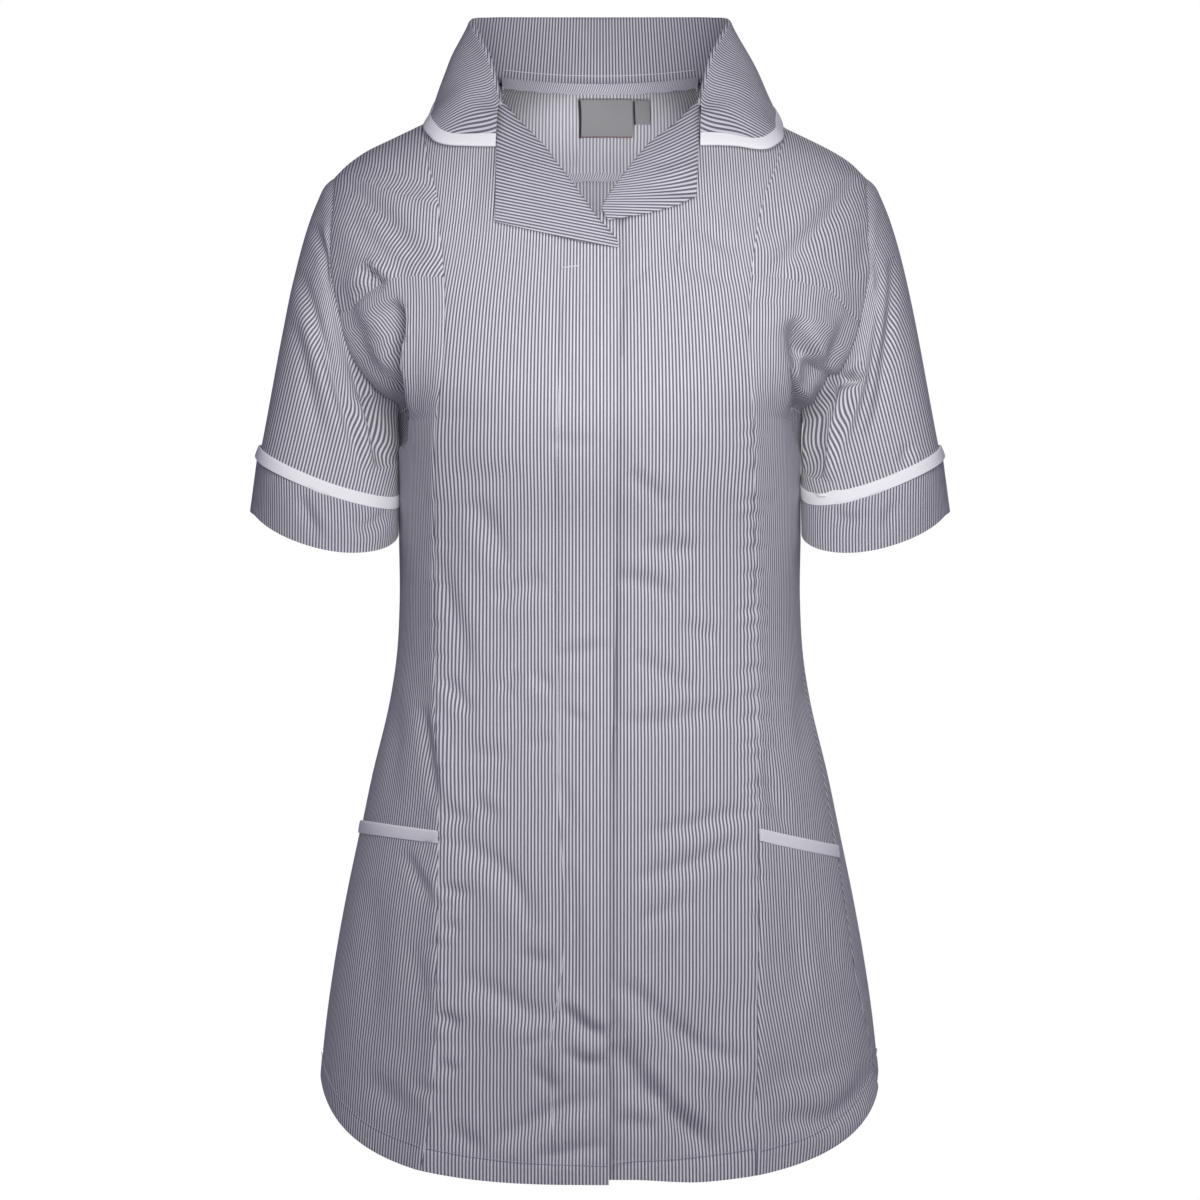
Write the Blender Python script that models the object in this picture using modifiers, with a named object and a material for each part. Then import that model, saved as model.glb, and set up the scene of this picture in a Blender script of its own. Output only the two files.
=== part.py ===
"""Work tunic: short sleeved, striped, turned-back collar and lapels, zip hidden under a lapped front.

The tunic keeps the hollow form it has when it is worn.  +X is the wearer's left, -Y the front,
+Z up.  The origin is midway between the shoulders, where the wearer holds the tunic up.
Sizes in the tables are millimetres and angles are degrees; the model itself is in metres.
The body is one closed skin: a ring for each height, read round from the centre front (0 degrees)
through the wearer's left side (90) to the centre back (180).  Each panel is a stretch of that skin.
"""
import math

import bmesh
import bpy
import numpy as np

MM = 0.001
WALL = 1.2              # cloth wall
DOUBLE_WALL = 1.4       # collar and lapels, two layers pressed together
TAPE_WALL = 0.9         # white binding tape
SEAM_GAP = 0.3          # between neighbouring pieces
RIDGE_GAP = 0.1         # more of it on each side of the shoulder seam, where the walls meet at a ridge
LAP_DEPTH = 2.3         # how far the under front sits behind the upper one
LAP_UNDER = 32.0        # how far it reaches past the upper front's edge
LAP_RAMP = 18.0         # width over which it comes back to the skin

SHOULDER_TIP = -19.6    # height of the shoulder point
UNDERARM = -187.6       # height of the armhole's lowest point
WAIST = -330.0          # height of the narrowest ring
NECK_SIDE = 70.7        # half width of the neck at the shoulder seam
NECK_TOP = 46.2         # height of that point
ARMHOLE_FRONT = 50.0    # half depth of the armhole, towards the front
ARMHOLE_BACK = 54.0     # and towards the back

HEM_CENTRE = -723.0     # lowest point of the hem, at the centre front
HEM_RISE = 77.0         # how far it rises to the side seams
HEM_POWER = 2.5         # how late in its sweep it rises
HEM_ROUND = 8.0         # degrees over which it rounds off at the side
BACK_HEM_LIFT = 5.0     # the back is this much shorter

TAPE_WIDTH = 9.0        # white binding on collar and pockets
POCKET_OUT = 1.5        # outer face of a pocket above the panel it lies on
POCKET_WALL = 1.0
POCKET_TAPE_OUT = 2.8   # outer face of the pocket's tape above the panel

# The body's rings: height, half width, depth of front and back, squareness of the outline.
RINGS = {
    "height":     (-740, -650, -605, -564, -525, -474, -440, -385, -357, -315, -268, -228, -187.6,
                   -133, -89.6, -52, -19.6, 9.8, 29.4, 46.2),
    "half_width": (198, 195, 190.5, 184.5, 177.5, 167, 160, 147, 142.5, 140, 140.5, 140.5, 142,
                   150, 160, 175, 186.5, 141, 103, 70.7),
    "front":      (118, 118, 117.5, 116.5, 115, 111, 108, 103, 101, 101, 108, 122, 131,
                   121, 109, 98, 84, 62, 46, 30),
    "back":       (136, 134, 131, 128, 125, 118, 113, 105, 100, 97, 100, 108, 114,
                   118.5, 115, 108, 98, 83, 73, 62),
    "square":     (2.2, 2.2, 2.2, 2.2, 2.2, 2.2, 2.25, 2.3, 2.3, 2.35, 2.4, 2.45, 2.45,
                   2.4, 2.35, 2.3, 2.2, 2.2, 2.1, 2.0),
}
# Above the shoulder point the half width is the shoulder line's.
SHOULDER = {"height": (-19.6, -8.4, 19.6, 46.2), "half_width": (186.5, 175, 122.5, 70.7)}
# The armhole seam from the front.
ARMHOLE = {
    "height":     (-187.6, -180.6, -171.5, -161, -150.5, -133, -110, -85, -63, -38.5, -19.6),
    "half_width": (142, 146.5, 154, 163, 171, 179, 184.5, 189, 189, 187.5, 186.5),
}
# Panel seams of the front, from the centre line.
PRINCESS = {
    "height": (-723, -700, -665, -595, -490, -357, -175, -89.6, -59, -32, -12, 17.5),
    "right":  (124.5, 120.4, 115, 112, 110, 111.3, 110.6, 109, 112, 114, 119.7, 124),
    "left":   (107, 107.8, 108.5, 109, 109, 107, 105, 105.7, 109.5, 115.5, 123, 131),
}
BUST_SEAM = {
    "right": {"across": (109, 131.6, 145, 154.7, 165, 178.5),
              "height": (-89.6, -89, -90.3, -93.8, -101.5, -114)},
    "left":  {"across": (105.7, 133.7, 147.7, 160, 171, 183.4),
              "height": (-87.5, -91, -95, -98, -109, -123)},
}
FRONT_EDGE = {
    "height": (-723, -553, -455, -385, -329, -231, -68.6),
    "across": (6.3, 6.3, 7, 9.5, 10.9, 11.5, 14.7),
}
# Neck edge of each front, from the shoulder seam down the lapel's roll line.
NECK_EDGE = {
    "right": {"across": (-70.7, -68.5, -63, -35, -19.6, -4.2, 14.7),
              "height": (46.2, 29.4, 15.4, -9.8, -31.5, -51, -68.6)},
    "left":  {"across": (-22, -2.8, 9, 26, 54, 68.5, 70.7),
              "height": (-72, -52, -35, -12, 10.5, 28, 46.2)},
}
BACK_NECK_DIP = 4.0     # the neck edge is this much lower at the centre back
YOKE_SEAM = {"across": (0, 90, 150, 190), "height": (-16, -20, -33, -50)}
# How far the side seam lies forward of the side, in degrees.
SIDE_SEAM = {
    "height": (-740, -646, -629, -577, -525, -470, -419, -360, -187.6),
    "right":  (3, 3, 3, 3, 3, 4, 4, 2, 0),
    "left":   (7, 9, 12, 18, 17, 13.5, 11, 5, 0),
}
POCKET_TOP = {
    "right": {"across": (109, 167), "height": (-477, -469)},
    "left":  {"across": (109, 167), "height": (-475, -487)},
}

# Soft folds of the body: where they lie (degrees round, height), their half length and half width,
# their lean from upright and how deep they are (minus is a ridge).
FOLDS = {
    "around": (-64, 64, 172, -172, 6, 30, -24, -150, 150),
    "height": (-148, -150, -70, -70, -640, -668, -430, -330, -330),
    "length": (42, 40, 85, 85, 70, 66, 60, 60, 60),
    "width":  (11, 11, 7, 7, 16, 15, 12, 18, 18),
    "lean":   (8, -12, 0, 0, 52, 48, 30, 60, -60),
    "depth":  (6, 6, 3.2, 3.2, 2.6, 2.4, 1.6, 2.5, 2.5),
}

# Rings of the sleeve end: centre (out, forward, up), reach to the inner side, reach to the front,
# and how much lower the front and the back are than the sides.
SLEEVE_ENDS = {
    "tape_top": {"centre": (189.7, -12, -223.7), "inner": (-46.9, 0, -17.9), "front": (0, -43, 0),
                 "front_drop": 9.1, "back_drop": 1},
    "tape_low": {"centre": (191.5, -13, -231.7), "inner": (-48.7, 0, -16.8), "front": (0, -43.5, 0),
                 "front_drop": 9.8, "back_drop": 1},
    "hem":      {"centre": (193.2, -18, -260.4), "inner": (-50.4, 0, -7.7), "front": (-5.6, -44, 0),
                 "front_drop": 20.3, "back_drop": 6},
}
DROP_ROUND = 0.2        # how softly the drop sets in at the sides
# Directions in which the sleeve leaves the armhole and reaches the cuff (out, forward, up).
SLEEVE_RUN = {
    "leave":  {"underarm": (3, -8, -45), "front": (22, -14, -100), "top": (70, 0, -42), "back": (24, 18, -95)},
    "arrive": {"underarm": (0, -8, -54), "front": (4, 2, -130), "top": (35, -6, -175), "back": (4, -16, -120)},
}
CUFF_OUT = 1.0          # the cuff stands proud of the sleeve
CUFF_TAPE_OUT = 2.6     # and its tape of the sleeve
CUFF_TAPE_END = 0.14    # the tape covers this share of the cuff

# The collar, from the centre back (0) to its front end (1): its fold, and the edge of its fall.
COLLAR_FOLD = {
    "along":   (0, 0.2, 0.4, 0.55, 0.66, 0.76, 0.88, 1),
    "across":  (0, 46, 78, 89, 88.5, 79, 73, 71.6),
    "forward": (79, 71, 44, 16, -3, -24, -38, -45),
    "height":  (94, 94, 93.5, 92, 87, 68, 46, 36),
}
FALL_EDGE = {
    "along":  (0, 0.2, 0.4, 0.55, 0.66, 0.74, 0.82, 0.88, 0.94, 1),
    "around": (180, 152, 122, 104, 88, 66, 49, 40, 31, 24.8),
    "height": (25, 25, 25, 24.5, 22, 15, 8.4, 4.9, 2.8, 1.4),
}
FALL_OUT = 2.9          # outer face of the fall's edge above the skin
STAND_LIFT = 0.9        # the stand's lower edge above the neck edge
FOLD_RADIUS = 2.6       # of the collar's fold, to its outer face
COLLAR_TAPE_OUT = 1.7   # outer face of its tape above the fall
BACK_SHARE = 0.62       # share of the collar that lies behind the shoulder seam
COLLAR_END = (68.5, 28) # across and height of its front end, on the neck edge
STAND_MIDDLE = 0.5      # the stand bends inward at this share of its height
STAND_BEND = 1.0        # by this much
FALL_BULGE = {"share": (0.4, 0.75), "out": (4.0, 2.0)}  # the fall stands off the straight line to its edge

# Lapels: the roll line and the outer edge (across, height), top first.
LAPEL_ROLL = {
    "right": {"across": (-68.5, -63, -35, -19.6, -4.2, 12.5),
              "height": (27.5, 15.4, -9.8, -31.5, -51, -66.5)},
    "left":  {"across": (68, 54, 26, 9, 3), "height": (26, 10.5, -12, -35, -44)},
}
LAPEL_EDGE = {
    "right": {"across": (-71.4, -72.3, -72.8, -46, -12.6, 12.8), "height": (27, -12, -52, -58, -66, -69.6)},
    "left":  {"across": (69.6, 68.6, 67.2, 54, 31.5, 5.5), "height": (25, 0, -34.3, -40.6, -46, -50.2)},
}
LAPEL_CORNER = 2        # row of the outer corner in the edge table
LAPEL_EDGE_OUT = 1.9    # inner face of the lapel above the front, at its edge
LAPEL_ROLL_OUT = 2.2    # at the roll line
LAPEL_BELLY = 2.0       # and how much more between them

LABEL_SIZES = {
    "label":    {"across": (-15.4, 23.1), "height": (11.2, 37.8)},
    "size_tab": {"across": (23.9, 35.7), "height": (20.3, 37.8)},
}
LABEL_WALL = 1.0
LABEL_INSIDE = 3.6      # its near face from the back's outer face

# Cloth finishes: base colour and roughness.
STRIPED = ((0.36, 0.35, 0.42), 0.85)
TAPE = ((0.84, 0.84, 0.88), 0.7)
LABEL_CLOTH = ((0.20, 0.20, 0.22), 0.8)

# Meshing: stops are (share of the width, columns up to it).
CENTRE_STOPS = {
    "right": ((0.39, 3), (0.62, 2), (0.82, 1), (1, 2)),
    "left":  ((0.24, 2), (0.40, 2), (0.66, 2), (1, 3)),
}
SIDE_STOPS = ((0.7, 4), (1, 4))
BACK_STOPS = ((0.06, 2), (0.94, 3))     # outside the neck; the neck's own are between
NECK_COLUMNS = 8
POCKET_ROWS = 4         # hem to pocket mouth
WAIST_ROWS = 3          # on to the waist
CHEST_ROWS = 4          # on to the underarm
BUST_ROWS = 6           # on to the bust seam, closer together near the underarm
BUST_CROWD = -0.6
BACK_ROWS = 6           # underarm to the back's yoke seam
YOKE_ROWS = 3           # and on to the shoulder's turn
BACK_YOKE_ROWS = 2
RIDGE_BAND = 12.0       # the skin turns fastest this close under the shoulder seam
RIDGE_ROWS = 4
RIDGE_CROWD = 0.92
TAPE_ROWS = 2
SLEEVE_ROWS = 7
SLEEVE_START = 0.7      # first ring of the sleeve from the armhole edge
CUFF_ROWS = (1, 0.5, 0.02)      # shares of the cuff, hem first
COLLAR_STEPS = 16       # each side of the centre back
LAPEL_STEPS = 6         # along each of its two outer edges
LAPEL_COLUMNS = 5       # roll line to edge
LABEL_STEPS = 3
SETTLE_STEPS = 30       # repeats until an edge that depends on its own height settles
SAMPLES = 200           # points read along the shoulder line
STEP = 0.25             # degrees and millimetres between the points a normal is read from
MM_PER_DEGREE = 2.4     # along the skin, on average
LAP_START = 4.0         # the under front begins to drop this far past the upper one's edge

# Heights near which an edge is looked for first.
BUST_NEAR = -95
SHOULDER_NEAR = -40
YOKE_SEAM_NEAR = -30
MOUTH_NEAR = -475


# ---------------------------------------------------------------- reading the tables

def hand_name(side):
    """Name of a side of the wearer; side is 1 for the left."""
    return "left" if side > 0 else "right"


def smooth(keys, values, at):
    """Read a table at any key, along a smooth curve through its rows."""
    keys = np.asarray(keys, float)
    values = np.asarray(values, float)
    at = np.clip(np.asarray(at, float), keys[0], keys[-1])
    row = np.clip(np.searchsorted(keys, at) - 1, 0, len(keys) - 2)
    gap = keys[row + 1] - keys[row]
    part = (at - keys[row]) / gap
    slope = np.gradient(values, keys)
    rise = part * part * (3 - 2 * part)
    lead = part * (1 - part) ** 2 * gap * slope[row]
    trail = part * part * (1 - part) * gap * slope[row + 1]
    return values[row] + (values[row + 1] - values[row]) * rise + lead - trail


def soft_step(at, low, high):
    """Rise smoothly from 0 at low to 1 at high."""
    part = np.clip((at - low) / (high - low), 0, 1)
    return part * part * (3 - 2 * part)


def armhole_reach(z, depth):
    """How far the armhole is from the side at height z: an ellipse, depth at its middle."""
    middle = (SHOULDER_TIP + UNDERARM) / 2
    radius = (SHOULDER_TIP - UNDERARM) / 2
    return depth * np.sqrt(np.clip(1 - ((z - middle) / radius) ** 2, 0, 1))


def half_width(z):
    """Half width of the skin at height z."""
    table = smooth(RINGS["height"], RINGS["half_width"], z)
    shoulder = smooth(SHOULDER["height"], SHOULDER["half_width"], z)
    front = smooth(RINGS["height"], RINGS["front"], z)
    square = smooth(RINGS["height"], RINGS["square"], z)
    cut = smooth(ARMHOLE["height"], ARMHOLE["half_width"], z)
    share = np.clip(armhole_reach(z, ARMHOLE_FRONT) / front, 0, 0.9) ** square
    beyond_cut = cut / (1 - share) ** (1 / square)
    return np.where(z >= SHOULDER_TIP, shoulder, np.where(z > UNDERARM, beyond_cut, table))


def folds(around, z):
    """Depth of the soft folds at a place on the skin."""
    depth = np.zeros(np.broadcast(around, z).shape)
    for row in range(len(FOLDS["around"])):
        turn = (around - FOLDS["around"][row] + 180) % 360 - 180
        across = turn * MM_PER_DEGREE
        up = z - FOLDS["height"][row]
        lean = math.radians(FOLDS["lean"][row])
        beside = across * math.cos(lean) - up * math.sin(lean)
        along = across * math.sin(lean) + up * math.cos(lean)
        reach = (beside / FOLDS["width"][row]) ** 2 + (along / FOLDS["length"][row]) ** 2
        depth = depth + FOLDS["depth"][row] * np.exp(-reach)
    return depth


def skin(around, z):
    """Point of the body's outer face at an angle round it and a height."""
    around = np.asarray(around, float)
    z = np.asarray(z, float)
    wide = half_width(z)
    square = smooth(RINGS["height"], RINGS["square"], z)
    front = smooth(RINGS["height"], RINGS["front"], z)
    back = smooth(RINGS["height"], RINGS["back"], z)
    side = np.sin(np.radians(around))
    ahead = np.cos(np.radians(around))
    deep = np.where(ahead > 0, front, back)
    inward = folds(around, z)
    x = np.sign(side) * np.abs(side) ** (2 / square) * wide - side * inward
    y = -np.sign(ahead) * np.abs(ahead) ** (2 / square) * deep + ahead * inward
    return np.stack(np.broadcast_arrays(x, y, z), axis=-1)


def across_at(around, z):
    """Signed distance from the centre line of a place on the skin, before its folds."""
    side = np.sin(np.radians(around))
    square = smooth(RINGS["height"], RINGS["square"], z)
    return np.sign(side) * np.abs(side) ** (2 / square) * half_width(z)


def angle_at(across, z, behind=False):
    """Angle round the skin of a point seen at this distance from the centre line."""
    square = smooth(RINGS["height"], RINGS["square"], z)
    share = np.clip(np.abs(across) / half_width(z), 0, 1) ** (square / 2)
    angle = np.degrees(np.arcsin(share)) * np.sign(across)
    return 180 - angle if behind else angle


def outward(around, z):
    """Unit normal of the skin."""
    turn = skin(around + STEP, z) - skin(around - STEP, z)
    rise = skin(around, z + STEP) - skin(around, z - STEP)
    normal = np.cross(turn, rise)
    return normal / np.linalg.norm(normal, axis=-1, keepdims=True)


def raised(around, z, out):
    """Point above the skin by out."""
    return skin(around, z) + outward(around, z) * np.asarray(out, float)[..., None]


def armhole_angle(z, side, behind=False):
    """Angle round the skin of the armhole seam at height z; side is 1 for the wearer's left."""
    square = smooth(RINGS["height"], RINGS["square"], z)
    deep = smooth(RINGS["height"], RINGS["back" if behind else "front"], z)
    reach = armhole_reach(z, ARMHOLE_BACK if behind else ARMHOLE_FRONT)
    angle = np.degrees(np.arccos(np.clip(reach / deep, 0, 1) ** (square / 2)))
    return (180 - angle) * side if behind else angle * side


def side_seam_angle(z, side):
    """Angle of the side seam below the underarm."""
    forward = smooth(SIDE_SEAM["height"], SIDE_SEAM[hand_name(side)], z)
    return (90 - forward) * side


def side_edge(z, side, behind=False):
    """Outer edge of a side panel: side seam up to the underarm, armhole above it."""
    seam = side_seam_angle(z, side)
    if behind:
        seam = seam % 360
    hole = armhole_angle(z, side, behind) % 360 if behind else armhole_angle(z, side)
    return np.where(z > UNDERARM, hole, seam)


def princess(z, side):
    """Distance of the panel seam from the centre line, signed."""
    return side * smooth(PRINCESS["height"], PRINCESS[hand_name(side)], z)


def hem_height(around):
    """Height of the hem at an angle round the body."""
    turn = np.abs((np.asarray(around, float) + 180) % 360 - 180)
    from_side = np.hypot(turn - 90, HEM_ROUND) - HEM_ROUND
    sweep = np.clip(1 - from_side / (math.hypot(90, HEM_ROUND) - HEM_ROUND), 0, 1) ** HEM_POWER
    lift = np.where(turn > 90, BACK_HEM_LIFT * (1 - sweep), 0)
    return HEM_CENTRE + HEM_RISE * sweep + lift


def shoulder_height(across):
    """Height of the shoulder seam at a distance from the centre line."""
    heights = np.linspace(NECK_TOP, SHOULDER_TIP, SAMPLES)
    line = smooth(SHOULDER["height"], SHOULDER["half_width"], heights)
    return np.interp(np.abs(across), line, heights)


# ---------------------------------------------------------------- sheets of cloth

def level(columns, lateral, rule, start):
    """Heights of an edge along a panel's columns, where rule gives the height at an angle."""
    z = np.full(len(columns), float(start))
    for _ in range(SETTLE_STEPS):
        z = 0.5 * z + 0.5 * rule(lateral(columns, z), z)
    return z


def rows_between(low, high, count, crowd=0.0):
    """Row heights from one edge to the next, closer together near the upper one with crowd."""
    part = np.linspace(0, 1, count + 1)
    part = (1 - crowd) * part + crowd * (1 - (1 - part) ** 2)
    return [low + (high - low) * p for p in part]


def net(columns, lateral, levels, counts, crowds=None):
    """Angles and heights of a panel's points, column by row."""
    rows = []
    for index, count in enumerate(counts):
        crowd = crowds[index] if crowds else 0.0
        band = rows_between(levels[index], levels[index + 1], count, crowd)
        rows += band if index == 0 else band[1:]
    z = np.array(rows).T
    around = lateral(np.asarray(columns)[:, None], z)
    return around, z


def trim(grid, gap, closed=False, top=0.0):
    """Draw the outline of a sheet in by gap, so that neighbours stay apart; its top edge by top more."""
    grid = grid.copy()

    def pull(edge, inner, more=0.0):
        run = inner - edge
        return edge + run * ((gap + more) / np.linalg.norm(run, axis=-1, keepdims=True))

    low = pull(grid[:, 0], grid[:, 1])
    high = pull(grid[:, -1], grid[:, -2], top)
    grid[:, 0], grid[:, -1] = low, high
    if not closed:
        first = pull(grid[0], grid[1])
        last = pull(grid[-1], grid[-2])
        grid[0], grid[-1] = first, last
    return grid


def finish_of(name, colour, roughness):
    """A cloth finish: colour, roughness, no metal."""
    material = bpy.data.materials.new(name)
    material.use_nodes = True
    shader = material.node_tree.nodes["Principled BSDF"]
    shader.inputs["Base Color"].default_value = (*colour, 1)
    shader.inputs["Roughness"].default_value = roughness
    shader.inputs["Metallic"].default_value = 0
    return material


def sheet(name, grid, wall, finish, closed=False):
    """A wall of cloth: a grid laid on the given points (mm) and thickened inwards."""
    across, along = grid.shape[0] - 1, grid.shape[1] - 1
    form = bmesh.new()
    bmesh.ops.create_grid(form, x_segments=across, y_segments=along, size=1)
    for point in form.verts:
        column = round((point.co.x + 1) / 2 * across)
        row = round((point.co.y + 1) / 2 * along)
        point.co = grid[column, row] * MM
    if closed:
        bmesh.ops.remove_doubles(form, verts=form.verts, dist=1e-6)
    mesh = bpy.data.meshes.new(name)
    form.to_mesh(mesh)
    form.free()
    mesh.shade_smooth()
    piece = bpy.data.objects.new(name, mesh)
    piece.data.materials.append(finish_of(name, *finish))
    thicken = piece.modifiers.new("wall", "SOLIDIFY")
    thicken.thickness = wall * MM
    thicken.offset = -1
    TUNIC.objects.link(piece)
    return piece


def spread(*stops):
    """Column places: (place, steps from the last place to it), from 0."""
    places = [0.0]
    for place, steps in stops:
        start = places[-1]
        places += [start + (place - start) * (i + 1) / steps for i in range(steps)]
    return np.array(places)


# ---------------------------------------------------------------- the fronts

def centre_front(side):
    """A centre front: panel seam to front edge, hem to shoulder and neck edge."""
    name = hand_name(side)
    neck = NECK_EDGE[name]

    def lateral(u, z):
        edge = smooth(FRONT_EDGE["height"], FRONT_EDGE["across"], z)
        outer = princess(z, side)
        inner = edge - LAP_UNDER if side > 0 else edge
        low, high = (inner, outer) if side > 0 else (outer, inner)
        return angle_at(low + (high - low) * u, z)

    def top(around, z):
        across = across_at(around, z)
        on_neck = np.interp(across, neck["across"], neck["height"])
        return np.where(np.abs(across) > NECK_SIDE, shoulder_height(across), on_neck)

    columns = spread(*CENTRE_STOPS[name])
    hem = level(columns, lateral, lambda a, z: hem_height(a), HEM_CENTRE)
    seam = 0 if side > 0 else -1
    mouth = np.full(len(columns), side_mouth(side)[seam])
    bust = np.full(len(columns), float(BUST_SEAM[name]["height"][0]))
    upper = level(columns, lateral, top, 0)
    around, z = net(columns, lateral,
                    [hem, mouth, waist_of(columns), underarm_of(columns), bust, upper - RIDGE_BAND, upper],
                    [POCKET_ROWS, WAIST_ROWS, CHEST_ROWS, BUST_ROWS, YOKE_ROWS, RIDGE_ROWS],
                    [0, 0, 0, BUST_CROWD, 0, RIDGE_CROWD])
    grid = skin(around, z)
    if side > 0:
        edge = smooth(FRONT_EDGE["height"], FRONT_EDGE["across"], z)
        ramp = soft_step(grid[..., 0], edge + LAP_START, edge + LAP_START + LAP_RAMP)
        behind = LAP_DEPTH * (1 - ramp)
        grid = raised(around, z, -behind)
    return sheet("front_centre_" + name, trim(grid, SEAM_GAP / 2, top=RIDGE_GAP), WALL, STRIPED)


def between(side, first, last):
    """Lateral rule of a side panel, its columns in order of angle."""
    def lateral(u, z):
        inner, outer = first(z), last(z)
        low, high = (inner, outer) if side > 0 else (outer, inner)
        return low + (high - low) * u
    return lateral


def bust_height(side):
    """Rule for the bust seam's height."""
    table = BUST_SEAM[hand_name(side)]

    def rule(around, z):
        return smooth(table["across"], table["height"], np.abs(across_at(around, z)))
    return rule


def waist_of(columns):
    """The waist's height for each column."""
    return np.full(len(columns), WAIST)


def underarm_of(columns):
    """The underarm's height for each column."""
    return np.full(len(columns), UNDERARM)


def side_columns(side):
    """Columns of a side front and the rule for their angles."""
    columns = spread(*SIDE_STOPS)
    if side < 0:
        columns = 1 - columns[::-1]
    return columns, between(side, lambda z: angle_at(princess(z, side), z), lambda z: side_edge(z, side))


def side_hem(side):
    """Height of a side front's hem along its columns."""
    columns, lateral = side_columns(side)
    return level(columns, lateral, lambda a, z: hem_height(a), HEM_CENTRE + HEM_RISE)


def side_mouth(side):
    """Height of the pocket mouth along a side front's columns."""
    columns, lateral = side_columns(side)
    mouth = POCKET_TOP[hand_name(side)]

    def rule(around, z):
        return np.interp(np.abs(across_at(around, z)), mouth["across"], mouth["height"])

    return level(columns, lateral, rule, MOUTH_NEAR)


def side_bust(side):
    """Height of the bust seam along a side front's columns."""
    columns, lateral = side_columns(side)
    return level(columns, lateral, bust_height(side), BUST_NEAR)


def side_front_net(side):
    """A side front: panel seam to side seam and armhole, hem to bust seam."""
    columns, lateral = side_columns(side)
    levels = [side_hem(side), side_mouth(side), waist_of(columns), underarm_of(columns), side_bust(side)]
    return net(columns, lateral, levels,
               [POCKET_ROWS, WAIST_ROWS, CHEST_ROWS, BUST_ROWS], [0, 0, 0, BUST_CROWD])


def yoke_span(z, side):
    """Distances of the upper side front's two edges from the centre line."""
    cut = np.abs(across_at(armhole_angle(z, side), z))
    return np.abs(princess(z, side)), np.where(z > SHOULDER_TIP, SHOULDER["half_width"][0], cut)


def yoke_front_net(side):
    """An upper side front: bust seam to shoulder seam, panel seam to armhole."""

    def lateral(u, z):
        inner, outer = yoke_span(z, side)
        part = u if side > 0 else 1 - u
        across = np.minimum(inner + (outer - inner) * part, half_width(z))
        return angle_at(side * across, z)

    def top(around, z):
        return shoulder_height(across_at(around, z))

    below, below_lateral = side_columns(side)
    bust = side_bust(side)
    across = np.abs(across_at(below_lateral(below, bust), bust))
    inner, outer = yoke_span(bust, side)
    part = (across - inner) / (outer - inner)
    columns = part if side > 0 else 1 - part
    upper = level(columns, lateral, top, SHOULDER_NEAR)
    return net(columns, lateral, [bust, upper - RIDGE_BAND, upper], [YOKE_ROWS, RIDGE_ROWS], [0, RIDGE_CROWD])


def side_pieces(side):
    """The lower and the upper side front."""
    name = hand_name(side)
    sheet("front_side_" + name, trim(skin(*side_front_net(side)), SEAM_GAP / 2), WALL, STRIPED)
    sheet("front_yoke_" + name, trim(skin(*yoke_front_net(side)), SEAM_GAP / 2, top=RIDGE_GAP), WALL, STRIPED)


def pocket(side):
    """A patch pocket over the lower side front, with its white tape."""
    name = hand_name(side)
    columns, lateral = side_columns(side)
    mouth = side_mouth(side)
    around, z = net(columns, lateral, [side_hem(side), mouth], [POCKET_ROWS])
    patch = raised(around, z, np.full(z.shape, POCKET_OUT))
    sheet("pocket_" + name, trim(patch, 2 * SEAM_GAP), POCKET_WALL, STRIPED)
    around, z = net(columns, lateral, [mouth - TAPE_WIDTH, mouth], [TAPE_ROWS])
    tape = raised(around, z, np.full(z.shape, POCKET_TAPE_OUT))
    sheet("pocket_binding_" + name, trim(tape, 2 * SEAM_GAP), TAPE_WALL, TAPE)


# ---------------------------------------------------------------- the back

def yoke_seam_rule(around, z):
    """Height of the back's yoke seam."""
    return np.interp(np.abs(across_at(around, z)), YOKE_SEAM["across"], YOKE_SEAM["height"])


def back_edges(z):
    """Angles of the back's two outer edges."""
    return side_edge(z, 1, True), side_edge(z, -1, True)


def back_nets():
    """The upper back and, below its yoke seam, the lower back, with their columns in line."""
    def yoke_lateral(u, z):
        cut = np.abs(across_at(armhole_angle(z, 1, True), z))
        outer = np.where(z > SHOULDER_TIP, SHOULDER["half_width"][0], cut)
        across = np.clip(outer * (1 - 2 * u), -half_width(z), half_width(z))
        return angle_at(across, z, True)

    def body_lateral(u, z):
        low, high = back_edges(z)
        return low + (high - low) * u

    def top(around, z):
        across = np.abs(across_at(around, z))
        neck = NECK_TOP - BACK_NECK_DIP * (1 - (across / NECK_SIDE) ** 2)
        return np.where(across > NECK_SIDE, shoulder_height(across), neck)

    neck = 0.5 - NECK_SIDE / SHOULDER["half_width"][0] / 2
    (tip, tip_steps), (far, far_steps) = BACK_STOPS
    columns = spread((tip, tip_steps), (neck, far_steps), (1 - neck, NECK_COLUMNS),
                     (far, far_steps), (1, tip_steps))
    seam = level(columns, yoke_lateral, yoke_seam_rule, YOKE_SEAM_NEAR)
    upper = level(columns, yoke_lateral, top, SHOULDER_NEAR)
    yoke = net(columns, yoke_lateral, [seam, upper - RIDGE_BAND, upper],
               [BACK_YOKE_ROWS, RIDGE_ROWS], [0, RIDGE_CROWD])

    low, high = back_edges(seam)
    columns = (yoke_lateral(columns, seam) - low) / (high - low)
    hem = level(columns, body_lateral, lambda a, z: hem_height(a), HEM_CENTRE)
    left_mouth = side_mouth(1)[-1]
    right_mouth = side_mouth(-1)[0]
    mouth = left_mouth + (right_mouth - left_mouth) * columns
    body = net(columns, body_lateral, [hem, mouth, waist_of(columns), underarm_of(columns), seam],
               [POCKET_ROWS, WAIST_ROWS, CHEST_ROWS, BACK_ROWS], [0, 0, 0, BUST_CROWD])
    return body, yoke


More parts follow.
